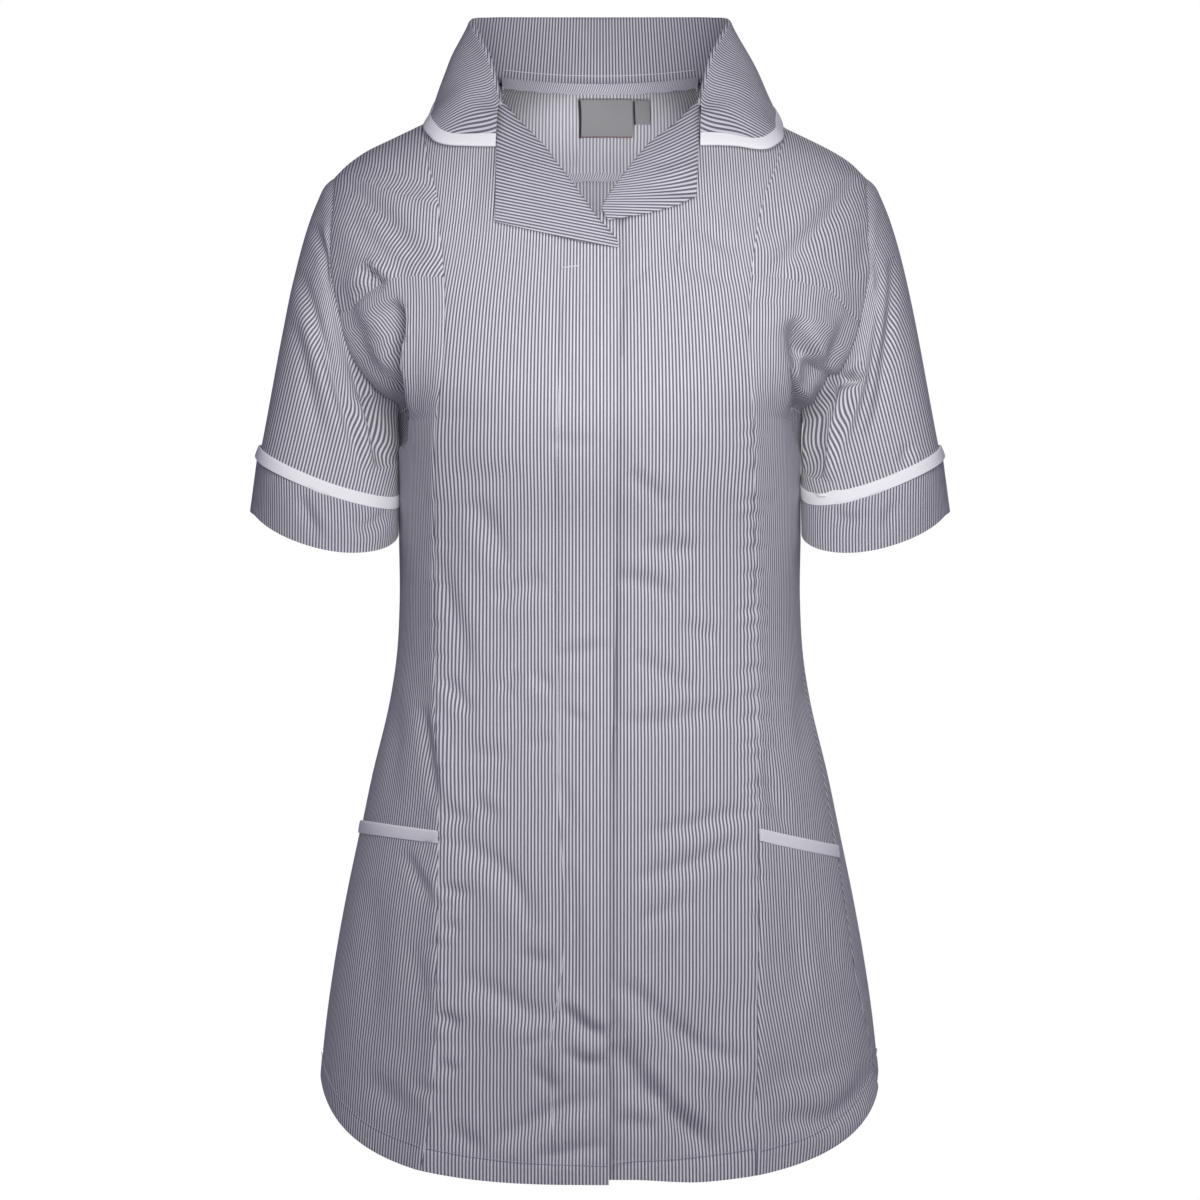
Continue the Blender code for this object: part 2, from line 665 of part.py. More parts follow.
def back():
    """The lower and the upper back."""
    body, yoke = back_nets()
    sheet("back_body", trim(skin(*body), SEAM_GAP / 2), WALL, STRIPED)
    sheet("back_yoke", trim(skin(*yoke), SEAM_GAP / 2, top=RIDGE_GAP), WALL, STRIPED)


# ---------------------------------------------------------------- sleeves and cuffs

def sleeve_end(name, turn, out=0.0):
    """Ring of the sleeve's lower end, in the wearer's-left half."""
    ring = SLEEVE_ENDS[name]
    inner, front = np.array(ring["inner"]), np.array(ring["front"])
    grow = 1 + out / np.linalg.norm(inner)
    cosine, sine = np.cos(turn)[:, None], np.sin(turn)[:, None]
    share = (np.hypot(sine, DROP_ROUND) - DROP_ROUND) / (math.hypot(1, DROP_ROUND) - DROP_ROUND)
    drop = np.where(sine > 0, ring["front_drop"], ring["back_drop"]) * share * np.array((0, 0, 1))
    return np.array(ring["centre"]) + (inner * cosine + front * sine) * grow - drop


def quarter_mix(rows, turn):
    """Mix a table's four quarters round the sleeve."""
    cosine, sine = np.cos(turn)[:, None], np.sin(turn)[:, None]
    mix = np.maximum(cosine, 0) ** 2 * np.array(rows["underarm"])
    mix = mix + np.maximum(-cosine, 0) ** 2 * np.array(rows["top"])
    mix = mix + np.maximum(sine, 0) ** 2 * np.array(rows["front"])
    return mix + np.maximum(-sine, 0) ** 2 * np.array(rows["back"])


def armhole_turns(side):
    """Turns round the armhole, from the underarm by way of the front, where the panels' rows end."""
    body, yoke = back_nets()
    edge = -1 if side > 0 else 0
    front = np.concatenate([side_front_net(side)[1][edge, -BUST_ROWS - 1:], yoke_front_net(side)[1][edge, 1:]])
    edge = 0 if side > 0 else -1
    back = np.concatenate([body[1][edge, -BACK_ROWS - 1:], yoke[1][edge, 1:]])
    middle = (SHOULDER_TIP + UNDERARM) / 2
    radius = (SHOULDER_TIP - UNDERARM) / 2
    front_turn = np.arccos(np.clip((middle - front) / radius, -1, 1))
    back_turn = np.arccos(np.clip((middle - back) / radius, -1, 1))
    return np.concatenate([front_turn, 2 * math.pi - back_turn[-2::-1]])


def armhole_ring(turn):
    """The armhole seam on the wearer's left, from the underarm by way of the front."""
    middle = (SHOULDER_TIP + UNDERARM) / 2
    radius = (SHOULDER_TIP - UNDERARM) / 2
    z = middle - radius * np.cos(turn)
    front = skin(armhole_angle(z, 1), z)
    back = skin(armhole_angle(z, 1, True), z)
    return np.where(np.sin(turn)[:, None] >= 0, front, back)


def cuff_ring(turn, part, out):
    """Ring of the cuff, from under its tape (0) to the hem (1)."""
    start = (sleeve_end("tape_top", turn, out) + sleeve_end("tape_low", turn, out)) / 2
    return start + (sleeve_end("hem", turn, out) - start) * part


def mirrored(grid, side):
    """A left-hand grid, or its mirror image with the columns the other way round."""
    if side > 0:
        return grid
    return (grid * np.array((-1, 1, 1)))[::-1]


def sleeve(side):
    """A set-in sleeve with its cuff and tape."""
    name = hand_name(side)
    turn = armhole_turns(side)
    leave = quarter_mix(SLEEVE_RUN["leave"], turn)
    arrive = quarter_mix(SLEEVE_RUN["arrive"], turn)
    top = armhole_ring(turn)
    top = top + leave / np.linalg.norm(leave, axis=1, keepdims=True) * SLEEVE_START
    end = sleeve_end("tape_top", turn)
    rows = []
    for part in np.linspace(0, 1, SLEEVE_ROWS + 1):
        rise = part * part * (3 - 2 * part)
        point = top + (end - top) * rise + leave * part * (1 - part) ** 2 - arrive * part * part * (1 - part)
        rows.append(point)
    rows.append((end + sleeve_end("tape_low", turn)) / 2)
    grid = np.array(rows).transpose(1, 0, 2)[:, ::-1]
    sheet("sleeve_" + name, trim(mirrored(grid, side), SEAM_GAP / 2, True), WALL, STRIPED, True)

    rows = [cuff_ring(turn, part, CUFF_OUT) for part in CUFF_ROWS]
    grid = np.array(rows).transpose(1, 0, 2)
    sheet("cuff_" + name, trim(mirrored(grid, side), SEAM_GAP / 2, True), WALL, STRIPED, True)

    rows = [cuff_ring(turn, part, CUFF_TAPE_OUT) for part in (CUFF_TAPE_END, 0)]
    rows.append(sleeve_end("tape_top", turn, CUFF_TAPE_OUT))
    grid = np.array(rows).transpose(1, 0, 2)
    sheet("cuff_binding_" + name, mirrored(grid, side), TAPE_WALL, TAPE, True)


# ---------------------------------------------------------------- collar and lapels

def neck_seam(along):
    """Neck edge from the centre back (0) round the wearer's left to the collar's front end (1)."""
    part = np.clip(along / BACK_SHARE, 0, 1)
    across = NECK_SIDE * np.sin(part * math.pi / 2)
    z = NECK_TOP - BACK_NECK_DIP * (1 - (across / NECK_SIDE) ** 2)
    back_line = skin(angle_at(across, z, True), z)
    ahead = np.clip((along - BACK_SHARE) / (1 - BACK_SHARE), 0, 1)
    z = NECK_TOP + (COLLAR_END[1] - NECK_TOP) * ahead
    across = NECK_SIDE + (COLLAR_END[0] - NECK_SIDE) * ahead
    front_line = skin(angle_at(across, z), z)
    return np.where(along[:, None] > BACK_SHARE, front_line, back_line) + np.array((0, 0, STAND_LIFT))


def collar_grid():
    """The collar's outer face, from the neck seam over the fold to the fall's edge."""
    along = np.linspace(0, 1, COLLAR_STEPS + 1)
    seam = neck_seam(along)
    fold = np.stack([smooth(COLLAR_FOLD["along"], COLLAR_FOLD[key], along)
                     for key in ("across", "forward", "height")], axis=-1)
    around = smooth(FALL_EDGE["along"], FALL_EDGE["around"], along)
    height = smooth(FALL_EDGE["along"], FALL_EDGE["height"], along)
    edge = raised(around, height, FALL_OUT + 0 * around)
    away = (edge - seam) * np.array((1, 1, 0))
    away = away / np.linalg.norm(away, axis=1, keepdims=True)
    below = np.array((0, 0, -FOLD_RADIUS))
    rows = [
        seam,
        seam + (fold - seam) * STAND_MIDDLE - away * STAND_BEND,
        fold - away * FOLD_RADIUS + below,
        fold,
        fold + away * FOLD_RADIUS + below,
    ]
    for share, out in zip(FALL_BULGE["share"], FALL_BULGE["out"]):
        rows.append(fold + (edge - fold) * share + away * out)
    rows.append(edge)
    half = np.array(rows).transpose(1, 0, 2)
    other = (half * np.array((-1, 1, 1)))[:0:-1]
    return np.concatenate([other, half])


def collar():
    """The folded collar, and the white tape laid along its fall's edge."""
    grid = collar_grid()
    sheet("collar", grid, DOUBLE_WALL, STRIPED)
    edge, above = grid[:, -1], grid[:, -2]
    down = edge - above
    down = down / np.linalg.norm(down, axis=1, keepdims=True)
    run = np.gradient(edge, axis=0)
    out = np.cross(run, down)
    out = out / np.linalg.norm(out, axis=1, keepdims=True) * COLLAR_TAPE_OUT
    tape = np.stack([edge - down * TAPE_WIDTH + out, edge - down * TAPE_WIDTH / 2 + out, edge + out], axis=1)
    sheet("collar_binding", tape, TAPE_WALL, TAPE)


def path_shares(across, height):
    """Share of a polyline's length at each of its points."""
    length = np.concatenate([[0], np.cumsum(np.hypot(np.diff(across), np.diff(height)))])
    return length / length[-1]


def along_path(across, height, at):
    """Points of a polyline at shares of its length."""
    share = path_shares(across, height)
    return np.interp(at, share, across), np.interp(at, share, height)


def lapel(side):
    """A lapel folded out over its front: roll line, outer edge, corner and lower edge."""
    name = hand_name(side)
    roll, edge = LAPEL_ROLL[name], LAPEL_EDGE[name]
    corner = path_shares(edge["across"], edge["height"])[LAPEL_CORNER]
    down = spread((corner, LAPEL_STEPS), (1, LAPEL_STEPS))
    roll_x, roll_z = along_path(roll["across"], roll["height"], down)
    edge_x, edge_z = along_path(edge["across"], edge["height"], down)
    part = np.linspace(0, 1, LAPEL_COLUMNS + 1)[:, None]
    across = roll_x + (edge_x - roll_x) * part
    z = roll_z + (edge_z - roll_z) * part
    full = np.sqrt(np.clip(4 * down * (1 - down), 0, 1))
    out = LAPEL_ROLL_OUT + (LAPEL_EDGE_OUT - LAPEL_ROLL_OUT) * part
    out = out + LAPEL_BELLY * 4 * part * (1 - part) * full
    grid = raised(angle_at(across, z), z, out)[:, ::-1]
    if side < 0:
        grid = grid[::-1]
    sheet("lapel_" + name, grid, DOUBLE_WALL, STRIPED)


def neck_label(name):
    """A bare woven label against the inside of the upper back."""
    size = LABEL_SIZES[name]
    across = np.linspace(*size["across"], LABEL_STEPS + 1)[:, None]
    z = np.linspace(*size["height"], LABEL_STEPS + 1)
    across, z = np.broadcast_arrays(across, z)
    grid = raised(angle_at(across, z, True), z, np.full(z.shape, -LABEL_INSIDE))
    sheet(name, grid, LABEL_WALL, LABEL_CLOTH)


# ---------------------------------------------------------------- building the tunic

def clear_scene():
    """Remove whatever the scene holds."""
    for old in list(bpy.data.objects):
        bpy.data.objects.remove(old, do_unlink=True)


clear_scene()
TUNIC = bpy.data.collections.new("work_tunic")
bpy.context.scene.collection.children.link(TUNIC)

for hand in (-1, 1):
    centre_front(hand)
    side_pieces(hand)
    pocket(hand)
    sleeve(hand)
    lapel(hand)
back()
collar()
for part_name in LABEL_SIZES:
    neck_label(part_name)
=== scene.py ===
"""Looks of the work tunic: striped cloth, white tape, creases and stitching on the CAD part's form.

+X is the wearer's left, -Y the front and +Z up; the origin is midway between the shoulders.
Sizes in the tables are millimetres and angles are degrees; the pieces themselves are in metres.
The body is one closed skin: a ring for each height, read round from the centre front (0 degrees)
through the wearer's left side (90) to the centre back (180).  Each panel is a stretch of that skin.
"""
import math

import bpy
import numpy as np
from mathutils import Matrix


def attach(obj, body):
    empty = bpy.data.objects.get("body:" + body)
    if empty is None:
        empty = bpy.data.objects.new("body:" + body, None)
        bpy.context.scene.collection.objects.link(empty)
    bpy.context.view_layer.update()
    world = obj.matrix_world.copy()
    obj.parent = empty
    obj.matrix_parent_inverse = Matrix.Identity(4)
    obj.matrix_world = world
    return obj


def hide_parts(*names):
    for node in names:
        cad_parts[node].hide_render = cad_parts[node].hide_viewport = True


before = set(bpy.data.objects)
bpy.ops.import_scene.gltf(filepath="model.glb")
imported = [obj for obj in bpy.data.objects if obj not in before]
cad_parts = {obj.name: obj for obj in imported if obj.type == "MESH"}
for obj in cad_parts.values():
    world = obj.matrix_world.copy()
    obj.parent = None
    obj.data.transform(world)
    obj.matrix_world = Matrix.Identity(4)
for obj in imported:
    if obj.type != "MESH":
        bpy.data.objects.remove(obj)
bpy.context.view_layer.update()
bpy.ops.object.select_all(action="DESELECT")

# ---------------------------------------------------------------- the tunic's form

MM = 0.001
NAMES = {-1: "right", 1: "left"}   # the wearer's sides
LAP_DEPTH = 2.3         # how far the under front sits behind the upper one
LAP_UNDER = 32.0        # how far it reaches past the upper front's edge
LAP_RAMP = 18.0         # width over which it comes back to the skin

SHOULDER_TIP = -19.6    # height of the shoulder point
UNDERARM = -187.6       # height of the armhole's lowest point
NECK_SIDE = 70.7        # half width of the neck at the shoulder seam
NECK_TOP = 46.2         # height of that point
ARMHOLE_FRONT = 50.0    # half depth of the armhole, towards the front
ARMHOLE_BACK = 54.0     # and towards the back

HEM_CENTRE = -723.0     # lowest point of the hem, at the centre front
HEM_RISE = 77.0         # how far it rises to the side seams
HEM_POWER = 2.5         # how late in its sweep it rises
HEM_ROUND = 8.0         # degrees over which it rounds off at the side
BACK_HEM_LIFT = 5.0     # the back is this much shorter

TAPE_WIDTH = 9.0        # white binding on collar and pockets

# The body's rings: height, half width, depth of front and back, squareness of the outline.
RINGS = {
    "height":     (-740, -650, -605, -564, -525, -474, -440, -385, -357, -315, -268, -228, -187.6,
                   -133, -89.6, -52, -19.6, 9.8, 29.4, 46.2),
    "half_width": (198, 195, 190.5, 184.5, 177.5, 167, 160, 147, 142.5, 140, 140.5, 140.5, 142,
                   150, 160, 175, 186.5, 141, 103, 70.7),
    "front":      (118, 118, 117.5, 116.5, 115, 111, 108, 103, 101, 101, 108, 122, 131,
                   121, 109, 98, 84, 62, 46, 30),
    "back":       (136, 134, 131, 128, 125, 118, 113, 105, 100, 97, 100, 108, 114,
                   118.5, 115, 108, 98, 83, 73, 62),
    "square":     (2.2, 2.2, 2.2, 2.2, 2.2, 2.2, 2.25, 2.3, 2.3, 2.35, 2.4, 2.45, 2.45,
                   2.4, 2.35, 2.3, 2.2, 2.2, 2.1, 2.0),
}
# Above the shoulder point the half width is the shoulder line's.
SHOULDER = {"height": (-19.6, -8.4, 19.6, 46.2), "half_width": (186.5, 175, 122.5, 70.7)}
# The armhole seam from the front.
ARMHOLE = {
    "height":     (-187.6, -180.6, -171.5, -161, -150.5, -133, -110, -85, -63, -38.5, -19.6),
    "half_width": (142, 146.5, 154, 163, 171, 179, 184.5, 189, 189, 187.5, 186.5),
}
# Panel seams of the front, from the centre line.
PRINCESS = {
    "height": (-723, -700, -665, -595, -490, -357, -175, -89.6, -59, -32, -12, 17.5),
    "right":  (124.5, 120.4, 115, 112, 110, 111.3, 110.6, 109, 112, 114, 119.7, 124),
    "left":   (107, 107.8, 108.5, 109, 109, 107, 105, 105.7, 109.5, 115.5, 123, 131),
}
BUST_SEAM = {
    "right": {"across": (109, 131.6, 145, 154.7, 165, 178.5), "height": (-89.6, -89, -90.3, -93.8, -101.5, -114)},
    "left":  {"across": (105.7, 133.7, 147.7, 160, 171, 183.4), "height": (-87.5, -91, -95, -98, -109, -123)},
}
FRONT_EDGE = {
    "height": (-723, -553, -455, -385, -329, -231, -68.6),
    "across": (6.3, 6.3, 7, 9.5, 10.9, 11.5, 14.7),
}
# Neck edge of each front, from the shoulder seam down the lapel's roll line.
NECK_EDGE = {
    "right": {"across": (-70.7, -68.5, -58, -42, -28, -16.8, -3.5, 14.7),
              "height": (46.2, 29.4, 20, 2.8, -15.4, -29.9, -48.5, -68.6)},
    "left":  {"across": (-22, -2.8, 5.6, 14, 24, 36.4, 53.2, 68.5, 70.7),
              "height": (-72, -50, -35, -23.8, -11, 3.5, 16.1, 28, 46.2)},
}
BACK_NECK_DIP = 4.0                                   # the neck edge is this much lower at the centre back
YOKE_SEAM = {"across": (0, 90, 150, 190), "height": (-16, -20, -33, -50)}
# How far the side seam lies forward of the side, in degrees.
SIDE_SEAM = {
    "height": (-740, -646, -629, -577, -525, -470, -419, -360, -187.6),
    "right":  (3, 3, 3, 3, 3, 4, 4, 2, 0),
    "left":   (7, 9, 12, 18, 17, 13.5, 11, 5, 0),
}
POCKET_TOP = {
    "right": {"across": (109, 167), "height": (-477, -469)},
    "left":  {"across": (109, 167), "height": (-475, -487)},
}

# Soft folds of the body: where they lie (degrees round, height), their half length and half width,
# their lean from upright and how deep they are (minus is a ridge).
FOLDS = {
    "around": (-64, 64, 172, -172, 6, 30, -24, -150, 150),
    "height": (-148, -150, -70, -70, -640, -668, -430, -330, -330),
    "length": (42, 40, 85, 85, 70, 66, 60, 60, 60),
    "width":  (11, 11, 7, 7, 16, 15, 12, 18, 18),
    "lean":   (8, -12, 0, 0, 52, 48, 30, 60, -60),
    "depth":  (6, 6, 3.2, 3.2, 2.6, 2.4, 1.6, 2.5, 2.5),
}

MM_PER_DEGREE = 2.4     # along the skin, on average

# Rings of the sleeve end: centre (out, forward, up), reach to the inner side, reach to the front,
# and how much lower the front and the back are than the sides.
SLEEVE_ENDS = {
    "tape_top": {"centre": (189.7, -12, -223.7), "inner": (-46.9, 0, -17.9), "front": (0, -43, 0),
                 "front_drop": 9.1, "back_drop": 1},
    "tape_low": {"centre": (191.5, -13, -231.7), "inner": (-48.7, 0, -16.8), "front": (0, -43.5, 0),
                 "front_drop": 9.8, "back_drop": 1},
    "hem":      {"centre": (193.2, -18, -260.4), "inner": (-50.4, 0, -7.7), "front": (-5.6, -44, 0),
                 "front_drop": 20.3, "back_drop": 6},
}
DROP_ROUND = 0.2        # how softly the drop sets in at the sides
# Directions in which the sleeve leaves the armhole and reaches the cuff (out, forward, up).
SLEEVE_RUN = {
    "leave":  {"underarm": (3, -8, -45), "front": (22, -14, -100), "top": (70, 0, -42), "back": (24, 18, -95)},
    "arrive": {"underarm": (0, -8, -54), "front": (4, 2, -130), "top": (35, -6, -175), "back": (4, -16, -120)},
}
CUFF_OUT = 1.0          # the cuff stands proud of the sleeve

# The collar, from the centre back (0) to its front end (1): its fold, and the edge of its fall.
COLLAR_FOLD = {
    "along":   (0, 0.2, 0.4, 0.55, 0.66, 0.76, 0.88, 1),
    "across":  (0, 46, 78, 89, 88.5, 79, 72.6, 70.4),
    "forward": (79, 71, 44, 16, -3, -24, -38, -45),
    "height":  (94, 94, 93.5, 92, 87, 68, 46, 36),
}
FALL_EDGE = {
    "right": {"along":  (0, 0.2, 0.4, 0.55, 0.66, 0.74, 0.80, 0.85, 0.89, 0.94, 1),
              "around": (180, 152, 122, 104, 88, 66, 51.7, 44.2, 39.1, 32.4, 24.5),
              "height": (25, 25, 25, 24.5, 22, 14.5, 7.2, 2.6, 0.9, 0.7, 0.6)},
    "left":  {"along":  (0, 0.2, 0.4, 0.55, 0.66, 0.74, 0.80, 0.84, 0.88, 0.91, 0.95, 1),
              "around": (180, 152, 122, 104, 86, 65, 49, 42.5, 38, 34.6, 29.5, 23.6),
              "height": (25, 25, 25, 24, 19.5, 11, 1.5, -2.2, -2.0, 0, 1.2, 1.4)},
}
FALL_OUT = 2.9          # outer face of the fall's edge above the skin
FALL_LIFT = 2.0         # and how much more at its rounded corner
STAND_LIFT = 0.9        # the stand's lower edge above the neck edge
FOLD_RADIUS = 2.6       # of the collar's fold, to its outer face

# Lapels: outer corners after the roll line (across, height), top first.
LAPEL_EDGE = {
    "right": {"across": (-71.2, -72.1, -72.8, -46, -12.6, 12.8), "height": (33, -12, -52, -58, -66, -69.6)},
    "left":  {"across": (69.0, 68.4, 67.0, 54, 31.5, 5.5), "height": (31, 0, -34.3, -40.6, -46.5, -50.8)},
}
LAPEL_EDGE_OUT = 1.9    # outer face of the lapel above the front, at its edge
LAPEL_ROLL_OUT = 2.2    # at the roll line
LAPEL_BELLY = 2.0       # and how much more between them

LAPEL_ROLL = {
    "right": {"across": (-69.6, -58, -42, -28, -16.8, -3.5, 12.5),
              "height": (33, 19, 2.8, -15.4, -29.9, -48.5, -66.5)},
    "left":  {"across": (67.6, 53.2, 36.4, 24, 14, 5.6, 1.5),
              "height": (31, 16, 3.5, -11, -23.8, -35, -43)},
}
LAPEL_CORNER = 2        # row of the outer corner in its edge table

LABEL_SIZES = {
    "label":    {"across": (-15.4, 23.1), "height": (11.2, 37.8)},
    "size_tab": {"across": (23.9, 35.7), "height": (20.3, 37.8)},
}
EDGE_WIDTH = {"label": 1.6, "size_tab": 1.2}   # of each one's dark edge
LABEL_INSIDE = 3.6      # its near face from the back's outer face

FRONT_CREASES = (
    # yokes and chest
    (1.6, 7, 1, ((-179.9, -21), (-159.6, -39.2), (-140, -60.2), (-123.2, -78.4))),
    (1.2, 6, -1, ((-176.4, -38.5), (-164.5, -60.2), (-145.6, -78.4), (-131.6, -85.4))),
    (1, 6, 1, ((-173.6, -12.6), (-145.6, -23.8), (-123.2, -32.2))),
    (3.4, (3.4, 6.5), 1, ((-167, -82), (-159, -88), (-150, -96.5))),
    (1.6, 4, 1, ((-173.6, -105), (-166.6, -99.4), (-158.2, -96.6))),
    (2.2, 7, -1, ((180.6, -21.7), (162.4, -43.4), (144.9, -63.7), (126.7, -79.1), (113.4, -88.2))),
    (1.2, 6, 1, ((184.8, -52.5), (186.9, -67.9), (180.6, -86.1))),
    (0.9, 6, 1, ((160.3, -99.4), (163.1, -112), (162.4, -123.2))),
    (0.8, 3, 1, ((107.1, -107.1), (117.6, -107.1), (128.1, -105.7))),
    (1.6, 6, 1, ((42, -52.5), (55.3, -77), (81.9, -88.2), (99.4, -88.9))),
    (1.2, 5, 1, ((68.6, -50.4), (81.9, -63.7), (97.3, -73.5))),
    (1.2, 4, -1, ((35.7, -74.9), (26.6, -88.2), (16.8, -93.8))),
    (0.8, 7, 1, ((-86.8, -7), (-88.2, -28), (-92.4, -52.5))),
    # waist
    (0.9, 7, 1, ((-28, -159.6), (-11.2, -173.6))),
    (0.8, 9, 1, ((-100.8, -228.2), (-77, -231), (-53.2, -226.8))),
    (0.7, 6, 1, ((-42, -203), (-17.5, -207.2), (2.8, -203))),
    (1.5, 7, -1, ((-90.3, -245), (-78.4, -260.4), (-70, -278.6), (-65.8, -291.2))),
    (1.5, 7, 1, ((-38.5, -298.9), (-54.6, -306.6), (-74.2, -315))),
    (1.3, 5, 1, ((-111.3, -281.4), (-105.7, -299.6), (-101.5, -317.8), (-93.8, -343), (-91, -368.2))),
    (1.5, 4, -1, ((-106.4, -369.6), (-98, -380.8), (-88.9, -394.8))),
    (0.9, 5, 1, ((-72.1, -378.7), (-63, -372.4), (-54.6, -366.8))),
    (1, 5, -1, ((-48.3, -364), (-39.9, -372.4), (-30.1, -378.7))),
    (1.2, 5, 1, ((-30.8, -354.9), (-10.5, -351.4), (8.4, -345.8))),
    (1, 5, 1, ((-27.3, -390.6), (-17.5, -397.6), (-7, -402.5))),
    (0.9, 5, 1, ((-49, -418.6), (-30.8, -411.6))),
    (0.9, 7, 1, ((-93.8, -419.3), (-78.4, -424.2), (-61.6, -422.8))),
    (1.5, 6, 1, ((17.5, -226.8), (32.9, -235.9), (46.9, -249.9))),
    (1, 7, 1, ((46.2, -268.8), (53.2, -277.2), (61.6, -285.6))),
    (1.7, 6, 1, ((9.8, -299.6), (32.9, -302.4), (52.5, -314.3))),
    (1.7, 6, 1, ((21.7, -353.5), (45.5, -367.5), (73.5, -381.5))),
    (1.2, 6, 1, ((56, -330.4), (70, -338.8), (82.6, -342.3))),
    (1.6, 7, 1, ((9.8, -399), (40.6, -402.5), (72.1, -392), (85.4, -393.4), (102.2, -396.9))),
    (1.3, 6, 1, ((28, -276.5), (47.6, -281.4), (67.2, -278.6))),
    # hips
    (1.2, 5, 1, ((-91, -452.2), (-81.2, -460.6), (-70, -468.3))),
    (1.4, 5, 1, ((-107.1, -463.4), (-98, -466.2), (-88.2, -468.3))),
    (2.2, 7, -1, ((-103.6, -484.4), (-84, -491.4), (-65.8, -504.7), (-54.6, -523.6), (-46.9, -544.6))),
    (1.2, 4, 1, ((-109.9, -515.9), (-99.4, -519.4), (-88.2, -520.1))),
    (0.9, 4, 1, ((-107.8, -541.1), (-96.6, -546.7))),
    (1.3, 6, 1, ((-56.7, -562.1), (-43.4, -567), (-30.1, -567.7))),
    (2.2, 8, -1, ((-96.6, -577.5), (-78.4, -586.6), (-65.8, -594.3), (-44.8, -604.8), (-30.1, -602))),
    (1.6, 4, 1, ((-111.3, -604.1), (-103.6, -607.6), (-96.6, -613.2))),
    (1.2, 4, 1, ((-110.6, -639.1), (-96.6, -644.7))),
    (1.5, 5, -1, ((-53.9, -629.3), (-43.4, -623), (-32.9, -617.4))),
    (3, 5, 1, ((-28, -597.8), (-18.2, -606.9), (-8.4, -615.3), (5.6, -618.8))),
    (2, 5, 1, ((-25.2, -627.9), (-16.8, -635.6), (-8.4, -639.1), (5.6, -636.3))),
    (1.5, 5, 1, ((-46.2, -643.3), (-37.8, -651), (-28, -658))),
    (2.4, 7, 1, ((6.3, -662.2), (-12.6, -665.7), (-31.5, -671.3), (-55.3, -683.9), (-77.7, -692.3))),
    (1.6, 5, 1, ((5.6, -695.1), (-19.6, -700), (-44.8, -704.2))),
    (1.6, 5, 1, ((-21, -501.2), (-18.9, -525), (-18.2, -560), (-18.9, -590.8))),
    (1, 5, 1, ((-26.6, -437.5), (-23.8, -455), (-20.3, -474.6))),
    (1.3, 6, 1, ((-106.4, -682.5), (-91, -693), (-78.4, -701.4))),
    (2, 6, -1, ((30.8, -478.8), (53.2, -474.6), (72.1, -470.4), (88.9, -464.8), (105, -462.7))),
    (1.6, 6, -1, ((18.2, -510.3), (45.5, -504.7), (67.2, -498.4), (81.2, -490.7), (100.8, -485.8))),
    (1.1, 6, -1, ((25.9, -539.7), (44.8, -533.4), (63, -525))),
    (3.4, 7, -1, ((9.8, -585.9), (23.8, -588), (45.5, -609.7), (72.1, -630), (102.2, -637))),
    (3.6, 7, 1, ((9.8, -624.4), (25.2, -645.4), (51.1, -674.8), (81.2, -701.4))),
    (1.6, 7, 1, ((11.2, -652.4), (28, -658), (42, -663.6))),
    (1.4, 6, 1, ((47.6, -670.6), (58.8, -679), (70, -693))),
    (1.5, 6, 1, ((9.8, -679), (29.4, -680.4), (42, -684.6))),
    # side fronts
    (2.4, 4, 1, ((-121.8, -388.5), (-116.2, -421.4), (-111.3, -459.2))),
    (0.9, 6, 1, ((-142.8, -378), (-141.4, -413), (-145.6, -455))),
    (1.8, 4, 1, ((-135.8, -491.4), (-126, -508.2), (-114.8, -527.8))),
    (1.2, 9, 1, ((-159.6, -511), (-155.4, -567), (-159.6, -623))),
    (1.4, 8, 1, ((-163.8, -647.5), (-148.4, -659.4), (-133, -673.4))),
    (1.2, 4, -1, ((-129.5, -653.1), (-114.8, -656.6))),
    (1, 5, 1, ((-131.6, -553), (-123.2, -581), (-116.2, -609))),
    (1.2, 5, 1, ((112, -427), (120.4, -455), (130.2, -473.2))),
    (0.9, 6, 1, ((145.6, -525), (155.4, -553), (163.8, -577.5))),
    (1, 7, 1, ((130.2, -518), (137.2, -560), (140, -602))),
    (2.2, 7, -1, ((119, -684.6), (135.8, -675.5), (155.4, -680.4), (177.1, -665), (190.4, -641.2))),
    (1, 7, -1, ((123.2, -644), (147, -651), (169.4, -637))),
    (1, 6, 1, ((148.4, -357), (140, -385), (144.2, -427))),
)
# Puckers of each panel seam: height, length to each side and depth.
PUCKERS = {
    "left": ((-197, 10, 0.9), (-209, 8, 0.9), (-224, 7, 0.6), (-244, 10, 1), (-255, 8, 1.1),
             (-267, 6, 0.7), (-278, 10, 1.1), (-296, 8, 1.2), (-308, 6, 0.7), (-321, 10, 1.3),
             (-333, 10, 1.3), (-346, 7, 0.8), (-363, 13, 1.3), (-381, 13, 1.4), (-397, 15, 1.4),
             (-415, 13, 1.2), (-425, 10, 1.1), (-444, 11, 1.2), (-453, 9, 1.1), (-463, 14, 1),
             (-494, 8, 0.6), (-510, 8, 0.8), (-536, 7, 0.6), (-567, 8, 0.6), (-597, 7, 0.7)),
    "right": ((-245, 7, 0.5), (-273, 7, 0.6), (-304, 8, 0.7), (-332, 7, 0.7), (-354, 8, 0.8),
              (-406, 7, 0.6), (-434, 8, 0.7), (-483, 11, 0.8), (-528, 8, 0.8), (-556, 11, 0.9),
              (-584, 8, 0.8), (-623, 8, 0.8), (-658, 8, 0.7)),
}

